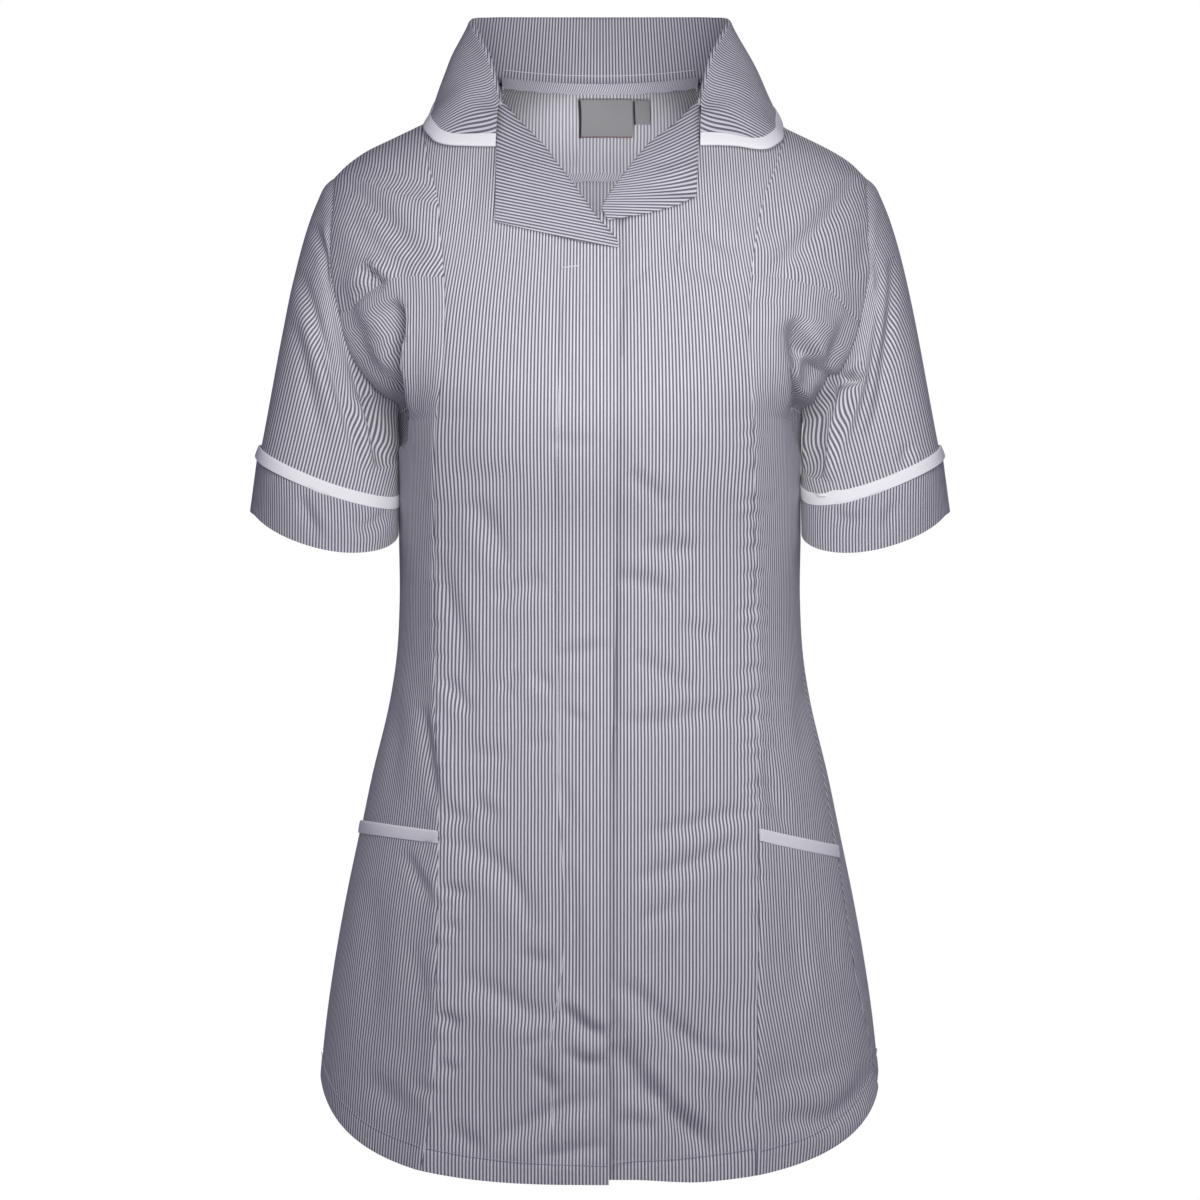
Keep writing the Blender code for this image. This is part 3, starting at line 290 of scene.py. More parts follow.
# Creases of the back: like those of the front, where a worn back has them.
BACK_CREASES = (
    (1.4, 7, 1, ((-168, -60), (-150, -84), (-128, -104), (-112, -118))),
    (1.6, 7, -1, ((166, -58), (148, -80), (130, -104), (116, -122))),
    (1.2, 8, 1, ((-120, -150), (-92, -176), (-60, -190))),
    (1.3, 8, -1, ((118, -156), (88, -180), (52, -196))),
    (1.4, 7, 1, ((-136, -268), (-104, -284), (-66, -292), (-30, -290))),
    (1.7, 7, -1, ((132, -276), (98, -296), (60, -304), (22, -300))),
    (1.6, 7, 1, ((-130, -322), (-92, -334), (-50, -346), (-10, -340))),
    (1.3, 6, -1, ((126, -338), (84, -352), (44, -366))),
    (1.6, 8, 1, ((-122, -388), (-84, -382), (-40, -392), (6, -402))),
    (1.1, 7, 1, ((118, -402), (80, -396), (40, -408))),
    (1.2, 9, 1, ((-150, -470), (-112, -520), (-88, -580), (-84, -640))),
    (1.4, 9, -1, ((148, -460), (116, -516), (96, -584), (94, -656))),
    (1.3, 10, 1, ((-40, -470), (-34, -540), (-38, -620), (-46, -700))),
    (1.5, 10, -1, ((30, -480), (40, -556), (38, -640), (46, -712))),
    (1.2, 9, 1, ((-4, -230), (2, -260), (-2, -286))),
    (1.3, 8, -1, ((170, -600), (150, -630), (120, -650))),
    # fanning down from the neck label, and the soft pleat under the yoke seam
    (1.0, 3, 1, ((-12, 10), (-20, -4), (-27, -15))),
    (1.0, 3, -1, ((6, 12), (5, -2), (3, -15))),
    (1.0, 3, 1, ((22, 10), (30, -3), (37, -14))),
    (1.8, 2.6, 1, ((-14, -14), (-15, -40), (-16, -70), (-17, -100))),
    (1.8, 2.6, -1, ((1.5, -14), (2, -40), (3, -70), (4, -100))),
)
SLEEVE_CREASES = {
    "right": (
        (3.2, 3.4, 1, ((-200, -52), (-193, -73), (-187, -95), (-176, -131), (-170, -157), (-157, -193),
                       (-148, -216))),
        (2.2, 4.2, -1, ((-210, -84), (-197, -126), (-183, -167), (-172, -204), (-164, -236))),
        (1.2, 5, 1, ((-213, -120), (-205, -160), (-196, -200))),
        (4.2, (4, 11), -1, ((-163, -172), (-158, -192), (-153, -222))),
    ),
    "left": (
        (2.4, 4, 1, ((196, -84), (190, -122), (185, -153), (183, -165), (171, -197), (164, -222))),
        (2.2, 4, -1, ((205, -75), (203, -113), (198, -146), (194, -184), (187, -202))),
        (1.4, 4, 1, ((216, -206), (211, -222))),
        (3.0, 3.6, 1, ((164, -160), (174, -162), (185, -158))),
        (7.0, (4, 14), 1, ((164, -160), (159, -184), (155, -206), (151, -230))),
    ),
}
CUFF_CREASES = {
    "right": (
        (2.8, 4, 1, ((-210, -242), (-203, -257), (-195, -272))),
        (2.4, 4, -1, ((-176, -258), (-165, -267), (-148, -253))),
    ),
    "left": (
        (3.2, 3.4, 1, ((149, -220), (157, -232), (164, -238))),
        (2.6, 4, 1, ((162, -255), (180, -262), (189, -253))),
        (2.4, 4, -1, ((207, -246), (198, -265))),
    ),
}
# Deeper hollows where the arm leaves the body: across, height, half width, half height, lean, depth.
HOLLOWS = (
    (-150, -122, 9, 12, 0.1, 6.0),
    (144, -148, 9, 20, -0.25, 11.0),
    (126, -118, 14, 12, 0.3, -2.0),
)
HOLLOW_CREASES = (
    (20.0, (3.0, 7.5), 1, ((-147, -106), (-139, -116), (-142, -132), (-145, -146), (-142, -160), (-139, -181),
                           (-138, -208))),
    (2.2, (3.0, 5.0), -1, ((-172, -122), (-160, -134), (-150, -152))),
    (12.0, (3.0, 9.0), 1, ((137, -118), (143, -131), (150, -143), (157, -153), (164, -163))),
    (11.0, (3.0, 6.0), 1, ((141, -152), (143, -170), (143, -190), (146, -214))),
)

CREASE_STRENGTH = 1.7   # of the body's creases; the sleeves' next
SLEEVE_CREASE_STRENGTH = 1.9
HOLLOW_RAISE = 0.12     # ridge beside a hollow, as a share of its depth
SEAM_RIDGE = {"right": 7.0, "left": 4.6}    # height of the edge along the front's panel seams
RIDGE_REACH = (24.0, 15.0)  # and how far it fades, towards the centre and towards the side
STRIPE_PITCH = 2.4      # one pale and one dark stripe
CLOTH_WALL = 0.9        # shown thickness of a single layer with its turned edges
DOUBLE_CLOTH = 1.1      # collar and lapels
POCKET_CLOTH = 0.8
TAPE_CLOTH = 0.35
LABEL_CLOTH = 0.5
COLUMN_STEP = 2.8       # size of the shown cloth's faces
ROW_STEP = 2.6
SEAM_GROOVE = 0.7       # depth of the valley at a sewn seam
SEAM_REACH = 1.6        # and its half width
FRONT_GROOVE = (4.2, 1.3)   # the same where the under front leaves the upper one's edge
FLY_GROOVE = (1.1, 1.1)     # at the fly's stitching
POCKET_GROOVE = (1.0, 2.2)  # down a pocket's sides
POCKET_LIFT = 1.15      # the pocket above its panel
ROUND_SHARE = 0.45      # how far the centre fronts' stripes follow the body's rounding
HEM_BAND = (13.5, 17.0) # hem stitching above the edge, at the front edge and at the side
UNDER_HEM_LIFT = 3.5    # the under front hangs this much shorter at the centre
FLY_LINE = {"height": (-720, -602, -588, -441, -231, -83), "across": (-31.5, -31.5, -28.7, -28.7, -30, -26)}


# ---------------------------------------------------------------- reading the tables


def smooth(keys, values, at):
    """Read a table at any key, along a smooth curve through its rows."""
    keys = np.asarray(keys, float)
    values = np.asarray(values, float)
    at = np.clip(np.asarray(at, float), keys[0], keys[-1])
    row = np.clip(np.searchsorted(keys, at) - 1, 0, len(keys) - 2)
    gap = keys[row + 1] - keys[row]
    part = (at - keys[row]) / gap
    slope = np.gradient(values, keys)
    rise = part * part * (3 - 2 * part)
    lead = part * (1 - part) ** 2 * gap * slope[row]
    trail = part * part * (1 - part) * gap * slope[row + 1]
    return values[row] + (values[row + 1] - values[row]) * rise + lead - trail


def read(table, column, z):
    """Read a column of a table at a height."""
    return smooth(table["height"], table[column], z)


def unit(vectors):
    """Vectors brought to length 1."""
    return vectors / np.maximum(np.linalg.norm(vectors, axis=-1, keepdims=True), 1e-9)


def soft_step(at, low, high):
    """Rise smoothly from 0 at low to 1 at high."""
    part = np.clip((at - low) / (high - low), 0, 1)
    return part * part * (3 - 2 * part)


def armhole_reach(z, depth):
    """How far the armhole is from the side at height z: an ellipse, depth at its middle."""
    middle = (SHOULDER_TIP + UNDERARM) / 2
    radius = (SHOULDER_TIP - UNDERARM) / 2
    return depth * np.sqrt(np.clip(1 - ((z - middle) / radius) ** 2, 0, 1))


def half_width(z):
    """Half width of the skin at height z."""
    table = read(RINGS, "half_width", z)
    shoulder = read(SHOULDER, "half_width", z)
    front = read(RINGS, "front", z)
    square = read(RINGS, "square", z)
    cut = read(ARMHOLE, "half_width", z)
    share = np.clip(armhole_reach(z, ARMHOLE_FRONT) / front, 0, 0.9) ** square
    beyond_cut = cut / (1 - share) ** (1 / square)
    return np.where(z >= SHOULDER_TIP, shoulder, np.where(z > UNDERARM, beyond_cut, table))


def folds(around, z):
    """Depth of the soft folds at a place on the skin."""
    depth = np.zeros(np.broadcast(around, z).shape)
    for row in range(len(FOLDS["around"])):
        turn = (around - FOLDS["around"][row] + 180) % 360 - 180
        across = turn * MM_PER_DEGREE
        up = z - FOLDS["height"][row]
        lean = math.radians(FOLDS["lean"][row])
        beside = across * math.cos(lean) - up * math.sin(lean)
        along = across * math.sin(lean) + up * math.cos(lean)
        reach = (beside / FOLDS["width"][row]) ** 2 + (along / FOLDS["length"][row]) ** 2
        depth = depth + FOLDS["depth"][row] * np.exp(-reach)
    return depth


def skin(around, z):
    """Point of the body's outer face at an angle round it and a height."""
    around = np.asarray(around, float)
    z = np.asarray(z, float)
    wide = half_width(z)
    square = read(RINGS, "square", z)
    front = read(RINGS, "front", z)
    back = read(RINGS, "back", z)
    side = np.sin(np.radians(around))
    ahead = np.cos(np.radians(around))
    deep = np.where(ahead > 0, front, back)
    inward = folds(around, z)
    x = np.sign(side) * np.abs(side) ** (2 / square) * wide - side * inward
    y = -np.sign(ahead) * np.abs(ahead) ** (2 / square) * deep + ahead * inward
    return np.stack(np.broadcast_arrays(x, y, z), axis=-1)


def across_at(around, z):
    """Signed distance from the centre line of a place on the skin, before its folds."""
    side = np.sin(np.radians(around))
    square = read(RINGS, "square", z)
    return np.sign(side) * np.abs(side) ** (2 / square) * half_width(z)


def angle_at(across, z, behind=False):
    """Angle round the skin of a point seen at this distance from the centre line."""
    square = read(RINGS, "square", z)
    share = np.clip(np.abs(across) / half_width(z), 0, 1) ** (square / 2)
    angle = np.degrees(np.arcsin(share)) * np.sign(across)
    return 180 - angle if behind else angle


def outward(around, z):
    """Unit normal of the skin."""
    step = 0.25
    turn = skin(around + step, z) - skin(around - step, z)
    rise = skin(around, z + step) - skin(around, z - step)
    return unit(np.cross(turn, rise))


def raised(around, z, out):
    """Point above the skin by out."""
    return skin(around, z) + outward(around, z) * np.asarray(out, float)[..., None]


def armhole_angle(z, side, behind=False):
    """Angle round the skin of the armhole seam at height z; side is 1 for the wearer's left."""
    square = read(RINGS, "square", z)
    deep = read(RINGS, "back" if behind else "front", z)
    reach = armhole_reach(z, ARMHOLE_BACK if behind else ARMHOLE_FRONT)
    angle = np.degrees(np.arccos(np.clip(reach / deep, 0, 1) ** (square / 2)))
    return (180 - angle) * side if behind else angle * side


def side_seam_angle(z, side):
    """Angle of the side seam below the underarm."""
    forward = smooth(SIDE_SEAM["height"], SIDE_SEAM[NAMES[side]], z)
    return (90 - forward) * side


def side_edge(z, side, behind=False):
    """Outer edge of a side panel: side seam up to the underarm, armhole above it."""
    seam = side_seam_angle(z, side)
    if behind:
        seam = seam % 360
    hole = armhole_angle(z, side, behind) % 360 if behind else armhole_angle(z, side)
    return np.where(z > UNDERARM, hole, seam)


def princess(z, side):
    """Distance of the panel seam from the centre line, signed."""
    name = NAMES[side]
    return side * read(PRINCESS, name, z)


def hem_height(around):
    """Height of the hem at an angle round the body."""
    turn = np.abs((np.asarray(around, float) + 180) % 360 - 180)
    from_side = np.hypot(turn - 90, HEM_ROUND) - HEM_ROUND
    sweep = np.clip(1 - from_side / (math.hypot(90, HEM_ROUND) - HEM_ROUND), 0, 1) ** HEM_POWER
    lift = np.where(turn > 90, BACK_HEM_LIFT * (1 - sweep), 0)
    return HEM_CENTRE + HEM_RISE * sweep + lift


def shoulder_height(across):
    """Height of the shoulder seam at a distance from the centre line."""
    heights = np.linspace(NECK_TOP, SHOULDER_TIP, 200)
    line = read(SHOULDER, "half_width", heights)
    return np.interp(np.abs(across), line, heights)


def level(columns, lateral, rule, start):
    """Heights of an edge along a panel's columns, where rule gives the height at an angle."""
    z = np.full(len(columns), float(start))
    for _ in range(40):
        z = 0.5 * z + 0.5 * rule(lateral(columns, z), z)
    return z


# ---------------------------------------------------------------- creases


def rounded(line):
    """A line with its corners cut twice."""
    line = np.array(line, float)
    for _ in range(2):
        near = line[:-1] * 0.75 + line[1:] * 0.25
        far = line[:-1] * 0.25 + line[1:] * 0.75
        between_ends = np.stack([near, far], axis=1).reshape(-1, 2)
        line = np.concatenate([line[:1], between_ends, line[-1:]])
    return line


def crease_depth(x, z, creases, raise_beside=0.5):
    """Depth of creases at places seen from the front: a trough with a softer ridge beside it."""
    x, z = np.broadcast_arrays(np.asarray(x, float), np.asarray(z, float))
    depth = np.zeros(x.shape)
    for deep, width, side, line in creases:
        line = rounded(line)
        steep, soft = width if isinstance(width, tuple) else (width, width)
        reach = 4.5 * max(steep, soft)
        low, high = line.min(axis=0) - reach, line.max(axis=0) + reach
        near = (x > low[0]) & (x < high[0]) & (z > low[1]) & (z < high[1])
        if not near.any():
            continue
        px, pz = x[near], z[near]
        best = np.full(px.shape, 1e9)
        beside = np.zeros(px.shape)
        place = np.zeros(px.shape)
        start = 0.0
        for first, last in zip(line[:-1], line[1:]):
            run = last - first
            length = math.hypot(*run)
            part = np.clip(((px - first[0]) * run[0] + (pz - first[1]) * run[1]) / length ** 2, 0, 1)
            dx = px - first[0] - part * run[0]
            dz = pz - first[1] - part * run[1]
            away = np.hypot(dx, dz)
            closer = away < best
            best = np.where(closer, away, best)
            turn = np.where(run[0] * dz - run[1] * dx >= 0, 1, -1)
            beside = np.where(closer, away * turn, beside)
            place = np.where(closer, start + part * length, place)
            start += length
        share = np.clip(place / start, 0, 1)
        taper = (4 * share * (1 - share)) ** 0.6
        trough = np.exp(-(beside / np.where(beside * side > 0, steep, soft)) ** 2)
        ridge = np.exp(-((beside - side * 2 * steep) / (1.5 * steep)) ** 2)
        depth[near] += deep * taper * (trough - raise_beside * ridge)
    return depth


def puckers(x, z):
    """Short dents across the panel seams of the front, drawn in by their stitching."""
    depth = np.zeros(x.shape)
    for side, name in NAMES.items():
        beside = np.abs(x - princess(z, side))
        if not (beside < 40).any():
            continue
        for height, length, deep in PUCKERS[name]:
            rise = z - height + beside * 0.25
            depth = depth + deep * np.exp(-(rise / 2.6) ** 2 - (beside / length) ** 2)
            depth = depth - 0.5 * deep * np.exp(-((rise - 6) / 3.4) ** 2 - (beside / length) ** 2)
    return depth


def seam_ridge(x, z):
    """Height of the edge along the front's panel seams, where the side fronts turn away."""
    lift = np.zeros(x.shape)
    for side, name in NAMES.items():
        beside = side * (x - princess(z, side))
        reach = np.where(beside > 0, RIDGE_REACH[1], RIDGE_REACH[0])
        lift = lift + SEAM_RIDGE[name] * np.exp(-(np.hypot(beside, 1.2) - 1.2) / reach)
    return lift * soft_step(-z, 130, 210)


def relief(around, z):
    """How far the cloth lies inside the plain form: its creases, puckers and hollows."""
    around, z = np.broadcast_arrays(np.asarray(around, float), np.asarray(z, float))
    x = across_at(around, z)
    ahead = np.cos(np.radians(around))
    front = soft_step(ahead, 0.0, 0.16)
    back = soft_step(-ahead, 0.0, 0.16)
    depth = front * (CREASE_STRENGTH * crease_depth(x, z, FRONT_CREASES) + puckers(x, z))
    depth = depth - front * seam_ridge(x, z)
    depth = depth + front * crease_depth(x, z, HOLLOW_CREASES, HOLLOW_RAISE)
    depth = depth + back * crease_depth(x, z, BACK_CREASES)
    for across, height, wide, tall, lean, deep in HOLLOWS:
        beside = (x - across - lean * (z - height)) / wide
        depth = depth + front * deep * np.exp(-beside ** 2 - ((z - height) / tall) ** 2)
    return depth


def cloth_point(around, z, out=0.0):
    """Point of the creased cloth, raised by out."""
    return raised(around, z, out - relief(around, z))


# ---------------------------------------------------------------- the grain of the cloth

ANGLE_STEP = 0.5
HEIGHT_STEP = 2.5
TABLE_ANGLES = np.arange(-120, 300.1, ANGLE_STEP)
TABLE_HEIGHTS = np.arange(-745, 50.1, HEIGHT_STEP)
TAKE_UP = 0.6           # how much of a crease's own length the stripes follow


def length_table():
    """Length round the cloth from the table's first angle, for each angle and height."""
    angles, heights = TABLE_ANGLES[:, None], TABLE_HEIGHTS[None, :]
    creased = cloth_point(angles, heights)
    plain = skin(angles, heights)
    long = np.linalg.norm(np.diff(creased, axis=0), axis=-1)
    short = np.linalg.norm(np.diff(plain, axis=0), axis=-1)
    steps = short + (long - short) * TAKE_UP
    return np.concatenate([np.zeros((1, len(TABLE_HEIGHTS))), np.cumsum(steps, axis=0)])


GIRTH = length_table()


def girth(around, z):
    """Length round the cloth at an angle and a height."""
    column = (np.asarray(around, float) - TABLE_ANGLES[0]) / ANGLE_STEP
    row = (np.asarray(z, float) - TABLE_HEIGHTS[0]) / HEIGHT_STEP
    column, row = np.broadcast_arrays(column, row)
    column = np.clip(column, 0, len(TABLE_ANGLES) - 1.001)
    row = np.clip(row, 0, len(TABLE_HEIGHTS) - 1.001)
    i, j = column.astype(int), row.astype(int)
    a, b = column - i, row - j
    low = GIRTH[i, j] * (1 - b) + GIRTH[i, j + 1] * b
    high = GIRTH[i + 1, j] * (1 - b) + GIRTH[i + 1, j + 1] * b
    return low * (1 - a) + high * a


# ---------------------------------------------------------------- materials


def linear(colour):
    """A colour as seen on a screen, made linear."""
    parts = [int(colour[i:i + 2], 16) / 255 for i in (1, 3, 5)]
    return (*[c / 12.92 if c <= 0.04045 else ((c + 0.055) / 1.055) ** 2.4 for c in parts], 1)


def add(tree, kind, values=None, **settings):
    """Add a shader node with its settings, and a constant or another node's output for each input."""
    made = tree.nodes.new(kind)
    for key, value in settings.items():
        setattr(made, key, value)
    for key, value in (values or {}).items():
        if isinstance(value, bpy.types.NodeSocket):
            tree.links.new(value, made.inputs[key])
        else:
            made.inputs[key].default_value = value
    return made


def new_material(name, roughness):
    """A material with its principled shader."""
    material = bpy.data.materials.new(name)
    material.use_nodes = True
    shader = material.node_tree.nodes["Principled BSDF"]
    shader.inputs["Roughness"].default_value = roughness
    shader.inputs["Specular IOR Level"].default_value = 0.25
    return material, material.node_tree, shader


def striped_cloth(name, pale, dark, pitch):
    """Yarn-dyed poly-cotton, or an overlocked edge: pale and darker stripes, matt."""
    material, tree, shader = new_material(name, 0.88)
    grain = add(tree, "ShaderNodeUVMap", uv_map="grain")
    parts = add(tree, "ShaderNodeSeparateXYZ", {0: grain.outputs["UV"]})
    place = add(tree, "ShaderNodeMath", {0: parts.outputs["X"], 1: pitch * MM}, operation="DIVIDE")
    fold = add(tree, "ShaderNodeMath", {0: place.outputs[0], 1: 0.5}, operation="PINGPONG")
    band = add(tree, "ShaderNodeMapRange",
               {"Value": fold.outputs[0], "From Min": 0.19, "From Max": 0.31}, interpolation_type="SMOOTHSTEP")
    # Uneven yarns: long streaks along the stripe.
    stretch = add(tree, "ShaderNodeMapping", {"Vector": grain.outputs["UV"], "Scale": (2200, 60, 1)})
    slub = add(tree, "ShaderNodeTexNoise", {"Vector": stretch.outputs[0], "Scale": 1.0, "Detail": 2.0})
    uneven = add(tree, "ShaderNodeMapRange",
                 {"Value": slub.outputs["Fac"], "From Min": 0.3, "From Max": 0.7, "To Min": 0.93, "To Max": 1.07})
    colour = add(tree, "ShaderNodeMix", {"Factor": band.outputs[0], 6: linear(dark), 7: linear(pale)},
                 data_type="RGBA")
    shade = add(tree, "ShaderNodeVectorMath", {0: colour.outputs[2], "Scale": uneven.outputs[0]},
                operation="SCALE")
    tree.links.new(shade.outputs[0], shader.inputs["Base Color"])
    # Plain weave, drawn coarser than its 0.25 mm yarns so that it holds at this distance.
    weave_size = add(tree, "ShaderNodeMapping", {"Vector": grain.outputs["UV"], "Scale": (1700, 1700, 1)})
    weave = add(tree, "ShaderNodeTexNoise", {"Vector": weave_size.outputs[0], "Scale": 1.0, "Detail": 1.0})
    bump = add(tree, "ShaderNodeBump", {"Height": weave.outputs["Fac"], "Strength": 0.12, "Distance": 0.0003})
    tree.links.new(bump.outputs[0], shader.inputs["Normal"])
    shader.inputs["Sheen Weight"].default_value = 0.08
    return material


def plain_cloth(name, colour, roughness, yarn, strength):
    """A plain woven tape or thread: one colour and a fine cross rib."""
    material, tree, shader = new_material(name, roughness)
    place = add(tree, "ShaderNodeTexCoord")
    noise = add(tree, "ShaderNodeTexNoise", {"Vector": place.outputs["Object"], "Scale": yarn, "Detail": 2.0})
    bump = add(tree, "ShaderNodeBump", {"Height": noise.outputs["Fac"], "Strength": strength, "Distance": 0.0003})
    tree.links.new(bump.outputs[0], shader.inputs["Normal"])
    shader.inputs["Base Color"].default_value = linear(colour)
    return material


# Poly-cotton with a woven lengthwise stripe: one layer, and two copies of it with painted shade and painted
# light.
STRIPED = striped_cloth("striped cloth", "#DCDBE1", "#716F7F", STRIPE_PITCH)
# Collar, lapels and cuffs: the same cloth painted darker, as painted shade.
DOUBLED_PAINTED_DARKER = striped_cloth("striped cloth, doubled, painted darker", "#CFCED6", "#6A6878", STRIPE_PITCH)
# The back's inside face: the same cloth painted lighter, as painted light where the inside of the back lies in
# shade.
INSIDE_PAINTED_LIGHTER = striped_cloth("striped cloth, inside face, painted lighter", "#D6D5DC", "#8C8A98", STRIPE_PITCH)
# Overlocked seam allowances: pale thread over the cloth's edge.
OVERLOCK = striped_cloth("overlocked edge", "#CBCAD4", "#83818F", 1.7)
TAPE = plain_cloth("white cotton tape", "#EEEDF3", 0.8, 1500, 0.15)
LABEL = plain_cloth("woven label satin", "#8B8A8E", 0.6, 1800, 0.1)
THREAD = plain_cloth("white sewing thread", "#E4E3EA", 0.7, 4000, 0.05)
GREY_THREAD = plain_cloth("grey sewing thread", "#B9B7C4", 0.7, 4000, 0.05)
RED_THREAD = plain_cloth("dull red overlocking thread", "#8E6A70", 0.7, 4000, 0.05)
DARK_EDGE = plain_cloth("dark edge strip", "#2E2D33", 0.7, 2000, 0.05)


# ---------------------------------------------------------------- building a piece of cloth


def run_lengths(points, axis):
    """Length from the grid's first edge, along one of its directions."""
    steps = np.linalg.norm(np.diff(points, axis=axis), axis=-1)
    total = np.cumsum(steps, axis=axis)
    start = np.zeros_like(np.take(total, [0], axis=axis))
    return np.concatenate([start, total], axis=axis)


def own_grain(points):
    """Grain that follows a grid's own edges."""
    return np.stack([run_lengths(points, 0), run_lengths(points, 1)], axis=-1)


def cloth_area(points):
    """Area of a grid of points."""
    one = np.linalg.norm(np.cross(points[1:, 1:] - points[:-1, :-1], points[1:, :-1] - points[:-1, 1:]), axis=-1)
    return one.sum() / 2


def cloth(node, kind, points, grain, wall, material, closed=False, suffix="", first_rows=None, lining=None):
    """A thin wall of cloth: a grid moved to the points (mm) and thickened inwards.

    first_rows is (count, grain) where the grain of the first rows of faces is another one,
    and lining the material of the inner face.
    """
    across, along = points.shape[0] - 1, points.shape[1] - 1
    bpy.ops.mesh.primitive_grid_add(x_subdivisions=across, y_subdivisions=along, size=2)
    piece = bpy.context.active_object
    piece.name = node + "_" + kind + suffix
    mesh = piece.data
    mesh.name = piece.name
    place = np.empty(len(mesh.vertices) * 3)
    mesh.vertices.foreach_get("co", place)
    place = place.reshape(-1, 3)
    column = np.rint((place[:, 0] + 1) / 2 * across).astype(int)
    row = np.rint((place[:, 1] + 1) / 2 * along).astype(int)
    mesh.vertices.foreach_set("co", (points[column, row] * MM).ravel())
    corner = np.empty(len(mesh.loops), int)
    mesh.loops.foreach_get("vertex_index", corner)
    mesh.uv_layers[0].name = "grain"
    place = grain[column[corner], row[corner]] * MM
    if first_rows:
        count, other = first_rows
        inside = np.repeat(row[corner].reshape(-1, 4).max(axis=1) <= count, 4)
        place = np.where(inside[:, None], other[column[corner], row[corner]] * MM, place)
    mesh.uv_layers["grain"].uv.foreach_set("vector", place.ravel())
    mesh.update()
    if closed:
        bpy.ops.object.mode_set(mode="EDIT")
        bpy.ops.mesh.select_all(action="SELECT")
        bpy.ops.mesh.remove_doubles(threshold=1e-6)
        bpy.ops.mesh.normals_make_consistent(inside=False)
        bpy.ops.object.mode_set(mode="OBJECT")
    mesh.materials.append(material)
    if wall:
        thicken = piece.modifiers.new("wall", "SOLIDIFY")
        if lining:
            mesh.materials.append(lining)
            thicken.material_offset = 1
        thicken.thickness = wall * MM
        thicken.offset = -1
        bpy.ops.object.modifier_apply(modifier=thicken.name)
    bpy.ops.object.shade_smooth_by_angle(angle=math.radians(50))
    piece.select_set(False)
    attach(piece, "root")
    if not suffix:
        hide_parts(node)
    return piece


def declare(points, with_pieces=()):
    """Work out the size a piece of cloth was cut to, and its area; nothing is done with them."""
    width = run_lengths(points, 0)[-1].max() * MM
    length = run_lengths(points, 1)[:, -1].max() * MM
    area = cloth_area(points) * MM * MM
    size = (round(max(width, 0.0101), 4), round(max(length, 0.0101), 4))
    box = size[0] * size[1]
    area = min(area, box)
    area = round(area, 6) if area > 0.3 * box else None


def places(length, step, near=(0.8, 1.8)):
    """Shares of a length: even steps, with finer ones near both ends."""
    even = np.linspace(0, 1, max(2, round(length / step)) + 1)[1:-1]
    ends = np.array(near) / length
    even = even[(even > 1.5 * ends[-1]) & (even < 1 - 1.5 * ends[-1])]
    return np.concatenate([[0], ends, even, 1 - ends[::-1], [1]])


def valley(distance, depth=SEAM_GROOVE, reach=SEAM_REACH):
    """Depth of a sewn seam's valley at a distance from it."""
    return depth * np.exp(-(distance / reach) ** 2)


def body_net(lateral, low, high, starts, width, length):
    """Angles and heights of a panel of the body, column by row, and its points on the plain skin."""
    columns = places(width, COLUMN_STEP)
    bottom = level(columns, lateral, low, starts[0])
    top = level(columns, lateral, high, starts[1])
    rows = places(length, ROW_STEP)
    z = bottom[:, None] + (top - bottom)[:, None] * rows
    around = lateral(columns[:, None], z)
    return around, z, skin(around, z)


def edge_distances(points):
    """Distance of each grid point from the first and last column, and the first and last row."""
    across, along = run_lengths(points, 0), run_lengths(points, 1)
    return across, across[-1:] - across, along, along[:, -1:] - along


def hem_out(from_hem, share):
    """The doubled hem: a little proud, with a valley at its stitching."""
    band = HEM_BAND[0] + (HEM_BAND[1] - HEM_BAND[0]) * share
    proud = 0.35 * (1 - soft_step(from_hem, band - 1.5, band + 1.5))
    return proud - valley(from_hem - band, 0.5, 1.3) - 0.3 * np.exp(-from_hem / 1.2)


# ---------------------------------------------------------------- the fronts


def front_centre_net(side):
    """A centre front: panel seam to front edge, hem to shoulder and neck edge."""
    neck = NECK_EDGE[NAMES[side]]

    def lateral(u, z):
        edge = read(FRONT_EDGE, "across", z)
        outer = princess(z, side)
        inner = edge - LAP_UNDER if side > 0 else edge
        low, high = (inner, outer) if side > 0 else (outer, inner)
        return angle_at(low + (high - low) * u, z)

    def top(around, z):
        across = across_at(around, z)
        on_neck = np.interp(across, neck["across"], neck["height"])
        return np.where(np.abs(across) > NECK_SIDE, shoulder_height(across), on_neck)

    def low(around, z):
        lift = UNDER_HEM_LIFT * (1 - soft_step(np.abs(across_at(around, z)), 20, 75)) if side > 0 else 0
        return hem_height(around) + lift

    return body_net(lateral, low, top, (HEM_CENTRE, 0), 122, 770)


# Lean of the centre fronts' stripes, at 96 mm from the centre: it builds up from the waist to the neck.
CHEST_LEAN = {"height": (-300, -250, -210, -160, -110, -60, 0, 50), "shift": (0, 0, -2.2, -1.2, 3.2, 12, 19, 22)}


def chest_shift(x, z):
    """How far the stripes of a centre front are pulled in at a place."""
    share = np.clip(np.abs(x) / 96, 0, 1.3) ** 1.5
    return np.sign(x) * share * read(CHEST_LEAN, "shift", z)


